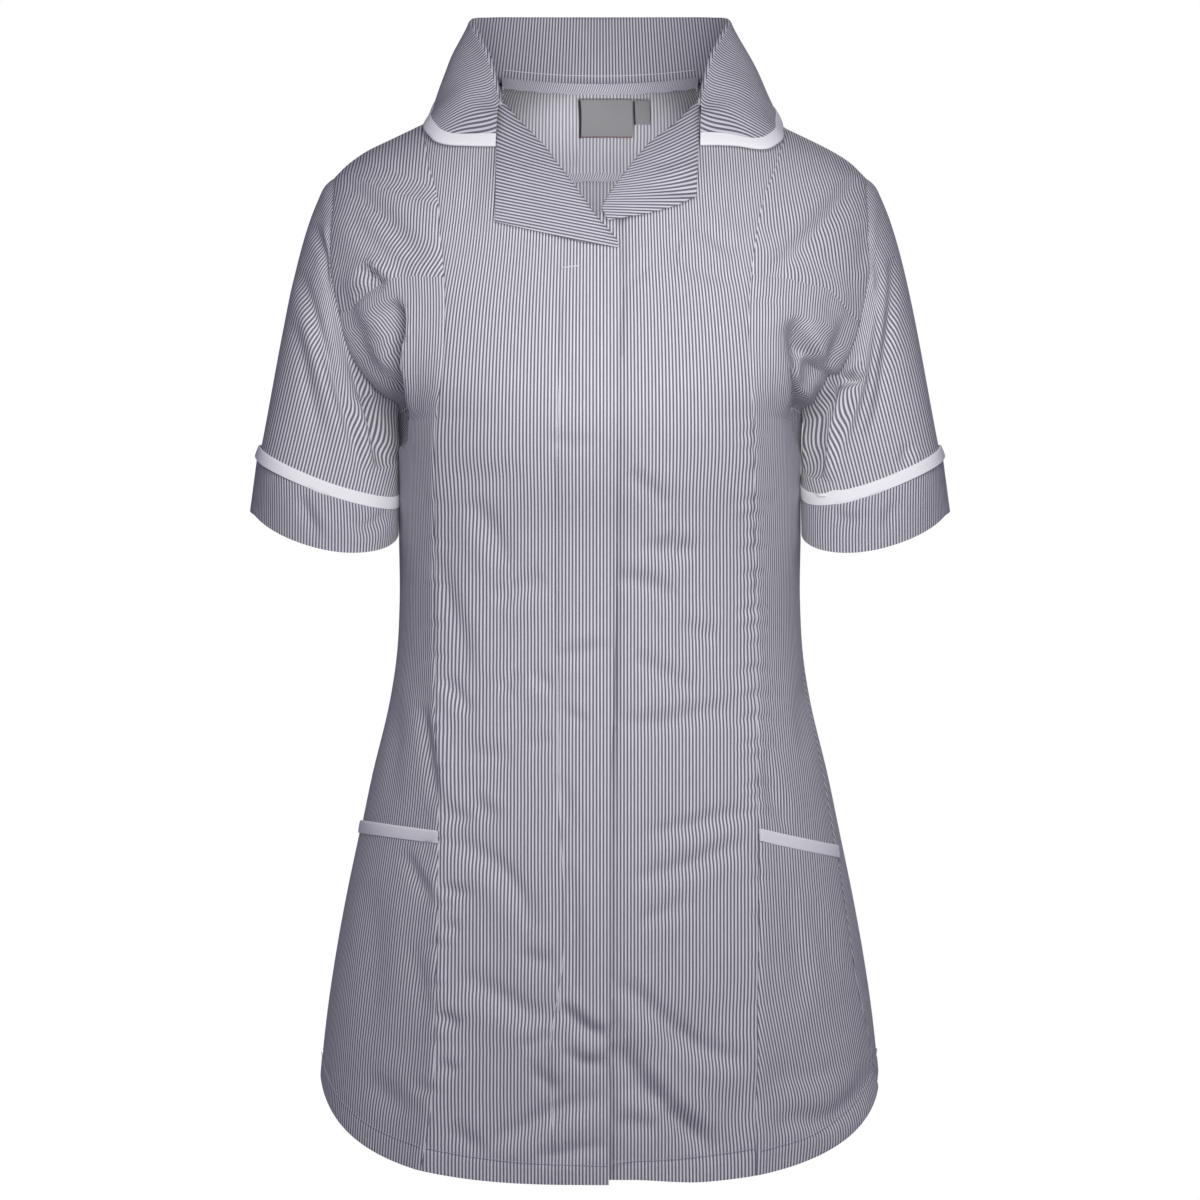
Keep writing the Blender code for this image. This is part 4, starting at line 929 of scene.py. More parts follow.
def front_centre(side):
    """A centre front with its hem, seam valleys and, on the right one, the fly's stitching."""
    name = NAMES[side]
    around, z, plain = front_centre_net(side)
    first, last, bottom, top = edge_distances(plain)
    seam, edge = (last, first) if side > 0 else (first, last)
    out = -valley(seam) + hem_out(bottom, np.abs(plain[..., 0]) / 120)
    if side > 0:
        line = read(FRONT_EDGE, "across", z)
        out = out - LAP_DEPTH * (1 - soft_step(plain[..., 0], line + 1, line + 1 + LAP_RAMP))
        out = out - valley(plain[..., 0] - line - 0.5, *FRONT_GROOVE)
    else:
        from_fly = plain[..., 0] - read(FLY_LINE, "across", z)
        out = out + 0.4 * soft_step(from_fly, -1, 1) - valley(from_fly, *FLY_GROOVE) - 0.5 * np.exp(-edge)
    points = cloth_point(around, z, out)
    round_body = girth(around, z) - girth(0 * z, z)
    flat = across_at(around, z)
    across = ROUND_SHARE * round_body + (1 - ROUND_SHARE) * flat + chest_shift(flat, z)
    grain = np.stack([across, z], axis=-1)
    return cloth("front_centre_" + name, "cloth", points, grain, CLOTH_WALL, STRIPED), points


def between(side, first, last):
    """Lateral rule of a side panel, its columns in order of angle."""
    def lateral(u, z):
        inner, outer = first(z), last(z)
        low, high = (inner, outer) if side > 0 else (outer, inner)
        return low + (high - low) * u
    return lateral


def bust_height(side):
    """Rule for the bust seam's height."""
    table = BUST_SEAM[NAMES[side]]

    def rule(around, z):
        return smooth(table["across"], table["height"], np.abs(across_at(around, z)))
    return rule


def side_lateral(side):
    """Lateral rule of a side front."""
    return between(side, lambda z: angle_at(princess(z, side), z), lambda z: side_edge(z, side))


def mouth_rule(side):
    """Rule for the pocket mouth's height."""
    mouth = POCKET_TOP[NAMES[side]]
    return lambda around, z: np.interp(np.abs(across_at(around, z)), mouth["across"], mouth["height"])


SEAM_LEVEL = -190.0     # above this height the stripes run beside the panel seam
SIDE_STRETCH = 1.15     # and stand this much closer, seen from the front
SIDE_TAKE_UP = 0.9      # how much of the folds' own length they follow there


def side_grain(side, around, z, creased_points=None):
    """Grain of a side front: straight along its middle, and along the panel seam beside the bust."""
    def seam_width(height):
        middle = side_lateral(side)(0.5, np.minimum(height, UNDERARM))
        return girth(middle, height) - girth(angle_at(princess(height, side), height), height)

    middle = side_lateral(side)(0.5, np.minimum(z, UNDERARM))
    below = girth(around, z) - girth(middle, z)
    if creased_points is None:
        return np.stack([below, z], axis=-1)
    beside = np.abs(across_at(around, z)) - np.abs(princess(z, side))
    run = run_lengths(creased_points, 0)
    extra = (run if side > 0 else run[-1:] - run) - beside
    above = beside * SIDE_STRETCH + SIDE_TAKE_UP * np.maximum(extra, 0) - np.abs(seam_width(SEAM_LEVEL))
    share = soft_step(z, SEAM_LEVEL - 30, SEAM_LEVEL + 25)
    return np.stack([below * (1 - share) + side * above * share, z], axis=-1)


def front_side(side):
    """A side front, hem to bust seam."""
    name = NAMES[side]
    around, z, plain = body_net(side_lateral(side), lambda a, z: hem_height(a), bust_height(side),
                                (HEM_CENTRE + HEM_RISE, -95), 72, 600)
    first, last, bottom, top = edge_distances(plain)
    out = -valley(first) - valley(last) - valley(top) + hem_out(bottom, 1)
    points = cloth_point(around, z, out)
    grain = side_grain(side, around, z, points)
    return cloth("front_side_" + name, "cloth", points, grain, CLOTH_WALL, STRIPED), points


def yoke_span(z, side):
    """Distances of the upper side front's two edges from the centre line."""
    cut = np.abs(across_at(armhole_angle(z, side), z))
    return np.abs(princess(z, side)), np.where(z > SHOULDER_TIP, SHOULDER["half_width"][0], cut)


LEAST_STEP = 0.7        # the least of the cloth's own length that the stripes follow where it turns away
YOKE_STRETCH = 1.12     # the stripes stand this much closer where the chest turns away
# The lean builds up from the bust seam to the shoulder.
YOKE_RISE = {"height": (-130, -90, -50, 0, 50), "rise": (-27, -22, -6, 40, 88)}
# How far the stripes lean in towards the neck for each step up, by their distance from the centre.
YOKE_LEAN = {
    "across": (100, 114, 131, 149, 167, 184),
    "right":  (0.08, 0.08, 0.07, 0.06, 0.06, 0.08),
    "left":   (0.05, 0.08, 0.16, 0.26, 0.36, 0.44),
}
# Stripes drift across a fold: its line (across, height) twice, how far they shift below it, half widths.
DRIFTS = {
    "right": (
        ((-173, -11), (-119, -31.5), -8, (6.5, 8)),
        ((-182, -38.5), (-133, -71), -13, (8.5, 19)),
        ((-150, -84), (-118, -96), -2, (8, 8)),
    ),
    "left": (
        ((133, 13), (172, -4), 3, (9, 9)),
        ((128, -80), (178, -18), -3, (8, 8)),
        ((124, -67.5), (159.6, -87.7), 4, (12, 12)),
    ),
}


def closed_up(across, grid, start):
    """Grain across a grid from one of its columns, its stripes never much wider apart than the cloth is long."""
    step = np.maximum(np.diff(across, axis=0), LEAST_STEP * np.linalg.norm(np.diff(grid, axis=0), axis=-1))
    run = np.concatenate([np.zeros((1, grid.shape[1])), np.cumsum(step, axis=0)])
    return run - run[start] + across[start]


def yoke_grain(name, x, z):
    """Stripes of an upper side front, leaning in towards the neck and drifting across its folds."""
    lean = smooth(YOKE_LEAN["across"], YOKE_LEAN[name], np.abs(x)) * np.sign(x)
    grain = (x + read(YOKE_RISE, "rise", z) * lean) * YOKE_STRETCH
    for first, last, amount, wide in DRIFTS[name]:
        slope = (last[1] - first[1]) / (last[0] - first[0])
        line = first[1] + (x - first[0]) * slope
        reach = wide[0] + (wide[1] - wide[0]) * np.clip((x - first[0]) / (last[0] - first[0]), 0, 1)
        grain = grain - amount * soft_step((line - z) / reach, -1, 1)
    return grain


def front_yoke(side):
    """An upper side front: bust seam to shoulder seam."""
    name = NAMES[side]

    def lateral(u, z):
        inner, outer = yoke_span(z, side)
        part = u if side > 0 else 1 - u
        across = np.minimum(inner + (outer - inner) * part, half_width(z))
        return angle_at(side * across, z)

    around, z, plain = body_net(lateral, bust_height(side),
                                lambda a, z: shoulder_height(across_at(a, z)), (-95, -40), 78, 118)
    first, last, bottom, top = edge_distances(plain)
    out = -valley(first) - valley(last) - valley(top) - valley(bottom)
    points = cloth_point(around, z, out)
    grain = np.stack([closed_up(yoke_grain(name, plain[..., 0], z), plain, 0 if side > 0 else -1), z], axis=-1)
    return cloth("front_yoke_" + name, "cloth", points, grain, CLOTH_WALL, STRIPED), points


def pocket(side):
    """A patch pocket over the lower side front, with the white tape over its mouth."""
    name = NAMES[side]
    lateral = side_lateral(side)
    around, z, plain = body_net(lateral, lambda a, z: hem_height(a), mouth_rule(side),
                                (HEM_CENTRE + HEM_RISE, -475), 80, 200)
    first, last, bottom, top = edge_distances(plain)
    out = POCKET_LIFT - valley(first, *POCKET_GROOVE) - valley(last, *POCKET_GROOVE) + hem_out(bottom, 1)
    points = cloth_point(around, z, out)
    grain = side_grain(side, around, z) + np.array((0.9, 0))
    piece = cloth("pocket_" + name, "cloth", points, grain, POCKET_CLOTH, STRIPED)
    # Tape: over the mouth's edge and a little way down inside.
    columns = places(80, 2.4)
    mouth = level(columns, lateral, mouth_rule(side), -475)
    down = np.array((-TAPE_WIDTH, -TAPE_WIDTH + 0.3, -6.5, -4.0, -1.6, -0.4, 0.0, -0.5, -2.0, -4.0))
    height = np.array((1.1, 1.8, 2.1, 2.2, 2.2, 1.95, 1.4, 0.85, 0.6, 0.6))
    z = mouth[:, None] + down
    around = lateral(columns[:, None], z)
    tape_points = cloth_point(around, z, np.broadcast_to(height, z.shape))
    grain = own_grain(tape_points)
    tape = cloth("pocket_binding_" + name, "tape", tape_points, grain, TAPE_CLOTH, TAPE)
    return piece, points, tape


# ---------------------------------------------------------------- the back


def back_body_net():
    """The lower back, hem to yoke seam."""
    def lateral(u, z):
        low, high = side_edge(z, 1, True), side_edge(z, -1, True)
        return low + (high - low) * u

    return body_net(lateral, lambda a, z: hem_height(a), yoke_seam_rule, (HEM_CENTRE, -30), 460, 700)


def yoke_seam_rule(around, z):
    """Height of the back's yoke seam."""
    return np.interp(np.abs(across_at(around, z)), YOKE_SEAM["across"], YOKE_SEAM["height"])


def back_yoke_net():
    """The upper back, yoke seam to shoulder seams and neck edge."""
    def lateral(u, z):
        cut = np.abs(across_at(armhole_angle(z, 1, True), z))
        outer = np.where(z > SHOULDER_TIP, SHOULDER["half_width"][0], cut)
        across = np.clip(outer * (1 - 2 * u), -half_width(z), half_width(z))
        return angle_at(across, z, True)

    def top(around, z):
        across = np.abs(across_at(around, z))
        neck = NECK_TOP - BACK_NECK_DIP * (1 - (across / NECK_SIDE) ** 2)
        return np.where(across > NECK_SIDE, shoulder_height(across), neck)

    return body_net(lateral, yoke_seam_rule, top, (-30, -40), 380, 66)


def back():
    """The lower and the upper back."""
    made = []
    for node, net in (("back_body", back_body_net()), ("back_yoke", back_yoke_net())):
        around, z, plain = net
        first, last, bottom, top = edge_distances(plain)
        out = -valley(first) - valley(last) - valley(top)
        out = out + (hem_out(bottom, 0.5) if node == "back_body" else -valley(bottom))
        points = cloth_point(around, z, out)
        grain = np.stack([girth(around, z) - girth(0 * z + 180, z), z], axis=-1)
        # The inside face takes the cloth painted lighter: painted light.
        piece = cloth(node, "cloth", points, grain, CLOTH_WALL, STRIPED, lining=INSIDE_PAINTED_LIGHTER)
        made.append((piece, points))
    return made


# ---------------------------------------------------------------- sleeves and cuffs


def sleeve_end(name, turn, out=0.0):
    """Ring of the sleeve's lower end, in the wearer's-left half."""
    ring = SLEEVE_ENDS[name]
    inner, front = np.array(ring["inner"]), np.array(ring["front"])
    cosine, sine = np.cos(turn)[:, None], np.sin(turn)[:, None]
    grow = 1 + (out + SLEEVE_SQUARE[name] * (2 * sine * cosine) ** 2) / np.linalg.norm(inner)
    share = (np.hypot(sine, DROP_ROUND) - DROP_ROUND) / (math.hypot(1, DROP_ROUND) - DROP_ROUND)
    drop = np.where(sine > 0, ring["front_drop"], ring["back_drop"]) * share * np.array((0, 0, 1))
    return np.array(ring["centre"]) + (inner * cosine + front * sine) * grow - drop


def quarter_mix(rows, turn):
    """Mix a table's four quarters round the sleeve."""
    cosine, sine = np.cos(turn)[:, None], np.sin(turn)[:, None]
    mix = np.maximum(cosine, 0) ** 2 * np.array(rows["underarm"])
    mix = mix + np.maximum(-cosine, 0) ** 2 * np.array(rows["top"])
    mix = mix + np.maximum(sine, 0) ** 2 * np.array(rows["front"])
    return mix + np.maximum(-sine, 0) ** 2 * np.array(rows["back"])


def armhole_ring(turn, side):
    """The armhole seam from the underarm by way of the front, drawn in the wearer's-left half."""
    middle = (SHOULDER_TIP + UNDERARM) / 2
    radius = (SHOULDER_TIP - UNDERARM) / 2
    z = middle - radius * np.cos(turn)
    front = cloth_point(armhole_angle(z, side), z, -SEAM_GROOVE)
    back = cloth_point(armhole_angle(z, side, True), z, -SEAM_GROOVE)
    return np.where(np.sin(turn)[:, None] >= 0, front, back) * np.array((side, 1, 1))


def cuff_ring(turn, part, out):
    """Ring of the cuff, from under its tape (0) to the hem (1)."""
    start = (sleeve_end("tape_top", turn, out) + sleeve_end("tape_low", turn, out)) / 2
    return start + (sleeve_end("hem", turn, out) - start) * part


def closed_normals(points):
    """Outward normals of a tube of points whose first and last columns are the same."""
    ring = np.concatenate([points[-2:-1], points, points[1:2]])
    return unit(np.cross(ring[2:] - ring[:-2], np.gradient(points, axis=1)))


def creased(points, side, creases, copy_back=0.8):
    """A sleeve's points pressed in along its creases; the hidden back has like ones."""
    normal = closed_normals(points)
    x, z = points[..., 0] * side, points[..., 2]
    front = soft_step(-normal[..., 1], -0.1, 0.35)
    back = soft_step(normal[..., 1], -0.1, 0.35)
    depth = front * crease_depth(x, z, creases)
    depth = depth + back * copy_back * crease_depth(x, z + 12, creases)
    return points - normal * depth[..., None]


def mirrored(grid, side):
    """A left-hand grid, or its mirror image with the columns the other way round."""
    if side > 0:
        return grid
    return (grid * np.array((-1, 1, 1)))[::-1]


SLEEVE_LEAN = 14.0      # the stripes run this far from upright, outwards
SLEEVE_HALF = 50.0      # half width of the sleeve seen from the front
SLEEVE_DEEP = 0.5       # how much the stripes close up at its outer edge
SLEEVE_SQUARE = {"tape_top": 5.0, "tape_low": 5.0, "hem": 0.5}   # how much squarer than an ellipse its rings are
HEAD_LIFT = 0.8         # the eased sleeve head stands proud by this much
SLEEVE_CLOSE = 2.6      # its inner side rests on the body
CUFF_CLOSE = 1.6        # and so does the cuff's
INNER_RISE = {"right": 0.0, "left": 7.0}    # the cuff's seam rises at the body by this much
INNER_REACH = 0.75      # and fades round it over this angle, in radians


def smooth_run(values, reach):
    """Each value averaged with its neighbours."""
    padded = np.concatenate([np.full(reach, values[0]), values, np.full(reach, values[-1])])
    return np.convolve(padded, np.ones(2 * reach + 1) / (2 * reach + 1), mode="valid")


def sleeve_grain(grid):
    """Grain of a sleeve: straight down its front, round its outer edge and down its back."""
    lean = math.radians(SLEEVE_LEAN)
    beside = grid[..., 0] * math.cos(lean) + grid[..., 2] * math.sin(lean)
    down = grid[..., 0] * math.sin(lean) - grid[..., 2] * math.cos(lean)
    quarter = (grid.shape[0] - 1) // 4
    furthest = quarter + beside[quarter:3 * quarter].argmax(axis=0)
    furthest = np.rint(smooth_run(furthest, 9)).astype(int)
    rows = np.arange(grid.shape[1])
    outer_down, outer_beside = down[furthest, rows], beside[furthest, rows]
    order = np.argsort(outer_down)
    outer = np.interp(down, outer_down[order], outer_beside[order])
    share = np.clip((beside - outer + SLEEVE_HALF) / SLEEVE_HALF, -1, 1)
    keys = np.linspace(-0.999, 0.999, 400)
    rate = np.sqrt(1 + SLEEVE_DEEP ** 2 * keys ** 2 / (1 - keys ** 2))
    length = np.concatenate([[0], np.cumsum((rate[1:] + rate[:-1]) / 2 * np.diff(keys))])
    length = length - np.interp(0, keys, length)
    front = outer - SLEEVE_HALF + SLEEVE_HALF * np.interp(share, keys, length)
    edge = outer - SLEEVE_HALF + SLEEVE_HALF * length[-1]
    behind = np.arange(grid.shape[0])[:, None] > furthest
    return np.stack([closed_up(np.where(behind, 2 * edge - front, front), grid, quarter), -down], axis=-1)


def from_inner(turn):
    """1 at the sleeve's inner side, fading round it."""
    away = np.minimum(turn, 2 * math.pi - turn)
    return np.exp(-(away / INNER_REACH) ** 2)


def cuff_shift(name, turn, part):
    """How the cuff's rings move: their inner side to the body, and their seam up at it."""
    shift = np.zeros((len(turn), 3))
    shift[:, 0] = -CUFF_CLOSE * from_inner(turn) * (1 - 0.6 * part)
    shift[:, 2] = INNER_RISE[name] * from_inner(turn) * (1 - part)
    return shift


def sleeve(side):
    """A set-in sleeve with its cuff and the cuff's white tape."""
    name = NAMES[side]
    turn = np.linspace(0, 2 * math.pi, 151)
    leave = quarter_mix(SLEEVE_RUN["leave"], turn)
    arrive = quarter_mix(SLEEVE_RUN["arrive"], turn)
    top = armhole_ring(turn, side)
    end = sleeve_end("tape_top", turn)
    parts = places(165, ROW_STEP)
    rows = []
    for part in parts:
        rise = part * part * (3 - 2 * part)
        rows.append(top + (end - top) * rise + leave * part * (1 - part) ** 2 - arrive * part * part * (1 - part))
    rows.append((end + sleeve_end("tape_low", turn)) / 2)
    grid = np.array(rows).transpose(1, 0, 2)[:, ::-1]
    normal = closed_normals(grid)
    from_seam = run_lengths(grid[:, ::-1], 1)[:, ::-1]
    # The sleeve head: eased cloth stands a little proud beyond the seam.
    lift = HEAD_LIFT * np.exp(-((from_seam - 9) / 7) ** 2) * np.clip(-np.cos(turn), 0, 1)[:, None]
    grid = grid + normal * lift[..., None]
    grid[..., 0] -= SLEEVE_CLOSE * from_inner(turn)[:, None] * soft_step(from_seam, 3, 30)
    grid[..., 2] += INNER_RISE[name] * from_inner(turn)[:, None] * (1 - soft_step(np.broadcast_to(
        np.linspace(0, 1, grid.shape[1]), grid.shape[:2]), 0, 0.4))
    grain = sleeve_grain(grid)
    fade = soft_step(from_seam, 0, 10)[..., None]
    grid = grid + (creased(grid, side, SLEEVE_CREASES[name]) - grid) * fade * SLEEVE_CREASE_STRENGTH
    points = mirrored(grid, side)
    grain = grain if side > 0 else grain[::-1] * np.array((-1, 1))
    piece = cloth("sleeve_" + name, "cloth", points, grain, CLOTH_WALL, STRIPED, True)

    # Cuff: rows from its hem up to under the tape.
    parts = places(36, 2.2)[::-1]
    grid = np.array([cuff_ring(turn, max(part, 0.02), CUFF_OUT) + cuff_shift(name, turn, part)
                     for part in parts]).transpose(1, 0, 2)
    around = run_lengths(grid, 0)
    around = around - around[len(turn) // 2][None]
    grid = creased(grid, side, CUFF_CREASES[name])
    grain = np.stack([around * 1.06 + 0.7, run_lengths(grid, 1)], axis=-1)
    points_cuff = mirrored(grid, side)
    grain = grain if side > 0 else grain[::-1] * np.array((-1, 1))
    # The cuff takes the cloth painted darker: painted shade.
    cuff = cloth("cuff_" + name, "cloth", points_cuff, grain, CLOTH_WALL, DOUBLED_PAINTED_DARKER, True)

    # Tape: wraps the cuff's upper edge.
    low = sleeve_end("tape_low", turn, CUFF_OUT) + cuff_shift(name, turn, 0)
    up = sleeve_end("tape_top", turn, CUFF_OUT) + cuff_shift(name, turn, 0)
    rise = unit(up - low)
    out = closed_normals(np.stack([low, up], axis=1)).mean(axis=1)
    height = np.array((0.0, 0.3, 2.5, 5.0, 7.4, 8.6, 9.0, 8.5, 6.5))
    proud = np.array((0.1, 0.55, 0.75, 0.8, 0.75, 0.5, 0.1, -0.3, -0.5))
    grid = low[:, None] + rise[:, None] * height[:, None] + out[:, None] * proud[:, None]
    grid = creased(grid, side, CUFF_CREASES[name])
    grain = own_grain(grid)
    grain = grain if side > 0 else grain[::-1]
    tape = cloth("cuff_binding_" + name, "tape", mirrored(grid, side), grain, TAPE_CLOTH, TAPE, True)
    return piece, points, cuff, points_cuff, tape


# ---------------------------------------------------------------- collar and lapels

NECK_SHARE = 0.62       # share of the neck edge that lies behind the shoulder seam
COLLAR_END = (68.5, 28) # across and height of the collar's front end


def neck_seam(along):
    """Neck edge from the centre back (0) round the wearer's left to the collar's front end (1)."""
    part = np.clip(along / NECK_SHARE, 0, 1)
    across = NECK_SIDE * np.sin(part * math.pi / 2)
    z = NECK_TOP - BACK_NECK_DIP * (1 - (across / NECK_SIDE) ** 2)
    back_part = skin(angle_at(across, z, True), z)
    ahead = np.clip((along - NECK_SHARE) / (1 - NECK_SHARE), 0, 1)
    z_front = NECK_TOP + (COLLAR_END[1] - NECK_TOP) * ahead
    across_front = NECK_SIDE + (COLLAR_END[0] - NECK_SIDE) * ahead
    front = skin(angle_at(across_front, z_front), z_front)
    return np.where(along[:, None] > NECK_SHARE, front, back_part) + np.array((0, 0, STAND_LIFT))


def whole_neck_seam(along):
    """Neck edge from the wearer's right (minus) round the back to the left."""
    return neck_seam(np.abs(along)) * np.stack([np.sign(along), 1 + 0 * along, 1 + 0 * along], axis=1)


def collar_rows(along, name):
    """The collar's outer face, from the neck seam over the fold to the fall's edge."""
    fall = FALL_EDGE[name]
    seam = neck_seam(along)
    fold = np.stack([smooth(COLLAR_FOLD["along"], COLLAR_FOLD[key], along)
                     for key in ("across", "forward", "height")], axis=-1)
    around = smooth(fall["along"], fall["around"], along)
    height = smooth(fall["along"], fall["height"], along)
    edge = raised(around, height, FALL_OUT + FALL_LIFT * np.exp(-((along - 0.82) / 0.1) ** 2))
    away = unit((edge - seam) * np.array((1, 1, 0)))
    up = np.array((0, 0, 1.0))
    slant = FOLD_RADIUS * 0.7
    return np.array([
        seam,
        seam + (fold - seam) * 0.5 + away * -1.0,
        fold - away * FOLD_RADIUS - up * FOLD_RADIUS,
        fold - away * slant - up * (FOLD_RADIUS - slant),
        fold,
        fold + away * slant - up * (FOLD_RADIUS - slant),
        fold + away * FOLD_RADIUS - up * FOLD_RADIUS,
        fold + (edge - fold) * 0.4 + away * 4.0,
        fold + (edge - fold) * 0.75 + away * 2.0,
        edge,
    ])


def bent(rows, at):
    """Points at places along each column's smooth curve through the rows; returns (column, place, xyz)."""
    keys = np.concatenate([[0], np.cumsum(np.linalg.norm(np.diff(rows, axis=0), axis=-1).mean(axis=1))])
    at = np.asarray(at) * keys[-1]
    slope = np.gradient(rows, keys, axis=0)
    row = np.clip(np.searchsorted(keys, at) - 1, 0, len(keys) - 2)
    gap = (keys[row + 1] - keys[row])[:, None, None]
    part = ((at - keys[row]) / gap[:, 0, 0])[:, None, None]
    rise = part * part * (3 - 2 * part)
    points = rows[row] + (rows[row + 1] - rows[row]) * rise
    points = points + part * (1 - part) ** 2 * gap * slope[row] - part * part * (1 - part) * gap * slope[row + 1]
    return points.transpose(1, 0, 2), keys / keys[-1]


FOLD_ROW = 4            # of the collar's rows, the one on its fold
COLLAR_STRETCH = 1.13   # the stripes of the fall and of the stand stand this much closer
STAND_STRETCH = 1.16
STAND_LEAN = 0.12       # the stand's stripes lean out a little towards its ends
# How far the fall's stripes lean for each step from the fold.
COLLAR_GRAIN = {"along": (0, 0.2, 0.45, 0.6, 0.75, 0.88, 1), "lean": (0, 0.1, 0.25, 0.33, 0.42, 0.5, 0.55)}
# Soft folds of the fall: place along the collar (minus is the wearer's right), width, lean and depth.
COLLAR_FOLDS = (
    (-0.80, 0.035, 0.10, 2.6),
    (-0.62, 0.05, 0.05, -1.6),
    (-0.50, 0.03, 0.04, 1.4),
    (0.56, 0.035, -0.06, 2.2),
    (0.84, 0.035, -0.10, 2.2),
    (0.70, 0.05, -0.10, -1.4),
)


def collar_net():
    """Points, grain and outward directions of the collar, wearer's right front round to the left."""
    along = np.linspace(-1, 1, 181)
    rows = np.where(along[:, None] < 0, collar_rows(np.abs(along), "right") * np.array((-1, 1, 1)),
                    collar_rows(np.abs(along), "left"))
    shares = places(128, 2.2)
    points, keys = bent(rows, shares)
    normal = unit(np.cross(np.gradient(points, axis=0), np.gradient(points, axis=1)))
    fall = soft_step(shares, keys[FOLD_ROW] + 0.04, 1.0)
    for place, width, lean, deep in COLLAR_FOLDS:
        beside = (along[:, None] - place - lean * fall) / width
        points = points - normal * (deep * fall * np.exp(-beside ** 2))[..., None]
    fold_points = bent(rows, [keys[FOLD_ROW]])[0][:, 0]
    along_fold = run_lengths(fold_points[:, None], 0)[:, 0]
    along_fold = along_fold - along_fold[len(along) // 2]
    from_fold = run_lengths(points, 1)
    fold_place = np.searchsorted(shares, keys[FOLD_ROW])
    from_fold = from_fold - from_fold[:, fold_place:fold_place + 1]
    lean = smooth(COLLAR_GRAIN["along"], COLLAR_GRAIN["lean"], np.abs(along)) * np.sign(along)
    lean = lean[:, None] * np.where(from_fold > 0, 1, 0.5)
    grain = np.stack([(along_fold[:, None] + lean * from_fold) * COLLAR_STRETCH, from_fold], axis=-1)
    across = points[..., 0] + STAND_LEAN * (points[..., 2] - fold_points[:, None, 2]) * points[..., 0] / NECK_SIDE
    stand = np.stack([across * STAND_STRETCH, from_fold], axis=-1)
    return along, points, grain, normal, (fold_place, stand)


def collar():
    """The folded collar and the white tape round its fall's edge."""
    along, points, grain, normal, stand = collar_net()
    # The collar takes the cloth painted darker: painted shade.
    piece = cloth("collar", "cloth", points, grain, DOUBLE_CLOTH, DOUBLED_PAINTED_DARKER, first_rows=stand)
    edge = points[:, -1]
    down = unit(edge - points[:, -4])
    out = normal[:, -2]
    height = np.array((-9.0, -8.7, -6.5, -4.0, -1.6, -0.1, 0.7, 0.7, 0.0, -1.6, -5.0))
    proud = np.array((0.15, 0.75, 0.95, 1.0, 0.95, 0.8, 0.1, -0.9, -1.6, -1.7, -1.6))
    grid = edge[:, None] + down[:, None] * height[:, None] + out[:, None] * proud[:, None]
    tape_grain = own_grain(grid)
    tape = cloth("collar_binding", "tape", grid, tape_grain, TAPE_CLOTH, TAPE)
    return piece, points, tape


def along_path(across, height, at):
    """Points of a polyline at shares of its length."""
    across, height = np.array(across), np.array(height)
    length = np.concatenate([[0], np.cumsum(np.hypot(np.diff(across), np.diff(height)))])
    share = length / length[-1]
    return np.interp(at, share, across), np.interp(at, share, height), share


LAPEL_MIDDLE = 40.0     # middle of a lapel, from the centre line
LAPEL_STRETCH = 1.1     # its stripes stand this much closer
# How far the lapels' stripes fall (minus: rise) for each step to the wearer's left.
LAPEL_LEAN = {
    "height": (-60, -37, -14, 0, 14, 30),
    "right": (0.2, 0.2, 0.26, 0.32, 0.42, 0.55),
    "left": (0.1, 0.0, -0.28, -0.4, -0.48, -0.55),
}
ROLL_RADIUS = 1.7       # of the lapel's roll
LAPEL_CREASES = {
    "right": (
        (1.2, 5, 1, ((-60, -20), (-46, -34), (-30, -44))),
        (0.8, 4, -1, ((-66, 4), (-58, -8), (-48, -16))),
    ),
    "left": (
        (2.4, 2.6, 1, ((69, -30), (62, -32), (54, -32), (47, -31))),
        (1.6, 3.4, -1, ((66, -19), (56, -25), (44, -29), (34, -30))),
        (1.0, 4, 1, ((60, -4), (50, -12), (40, -16))),
    ),
}


def lapel(side):
    """A lapel folded out over its front, with its roll."""
    name = NAMES[side]
    roll, edge = LAPEL_ROLL[name], LAPEL_EDGE[name]
    corner = along_path(edge["across"], edge["height"], 0)[2][LAPEL_CORNER]
    down = np.concatenate([np.linspace(0, corner, 30), np.linspace(corner, 1, 31)[1:]])
    roll_x, roll_z, _ = along_path(roll["across"], roll["height"], down)
    edge_x, edge_z, _ = along_path(edge["across"], edge["height"], down)
    part = places(60, 2.2)
    across = roll_x[:, None] + (edge_x - roll_x)[:, None] * part
    z = roll_z[:, None] + (edge_z - roll_z)[:, None] * part
    full = np.sqrt(np.clip(4 * down * (1 - down), 0, 1))[:, None]
    out = LAPEL_ROLL_OUT + (LAPEL_EDGE_OUT - LAPEL_ROLL_OUT) * part
    out = out + LAPEL_BELLY * 4 * part * (1 - part) * full + 1.2
    out = out - crease_depth(across, z, LAPEL_CREASES[name])
    around = angle_at(across, z)
    flat = raised(around, z, out - np.minimum(relief(around, z), 2))
    # The roll: from the lapel's face round into the neck opening.
    normal = outward(around[:, 0], z[:, 0])
    away = unit(flat[:, 0] - flat[:, 3])
    centre = flat[:, 0] - normal * ROLL_RADIUS
    bend = np.radians(np.array((170, 145, 120, 95, 70, 45, 22)))
    turned = normal[:, None] * np.cos(bend)[:, None] + away[:, None] * np.sin(bend)[:, None]
    curl = centre[:, None] + ROLL_RADIUS * turned
    grid = np.concatenate([curl, flat], axis=1)
    lean = read(LAPEL_LEAN, name, grid[..., 2])
    beside = grid[..., 0] - side * LAPEL_MIDDLE
    grain = np.stack([(grid[..., 2] + lean * beside) * LAPEL_STRETCH, grid[..., 0]], axis=-1)
    if side < 0:
        grid, grain = grid[::-1], grain[::-1]
    # The lapel takes the cloth painted darker: painted shade.
    return cloth("lapel_" + name, "cloth", grid, grain, DOUBLE_CLOTH, DOUBLED_PAINTED_DARKER), grid


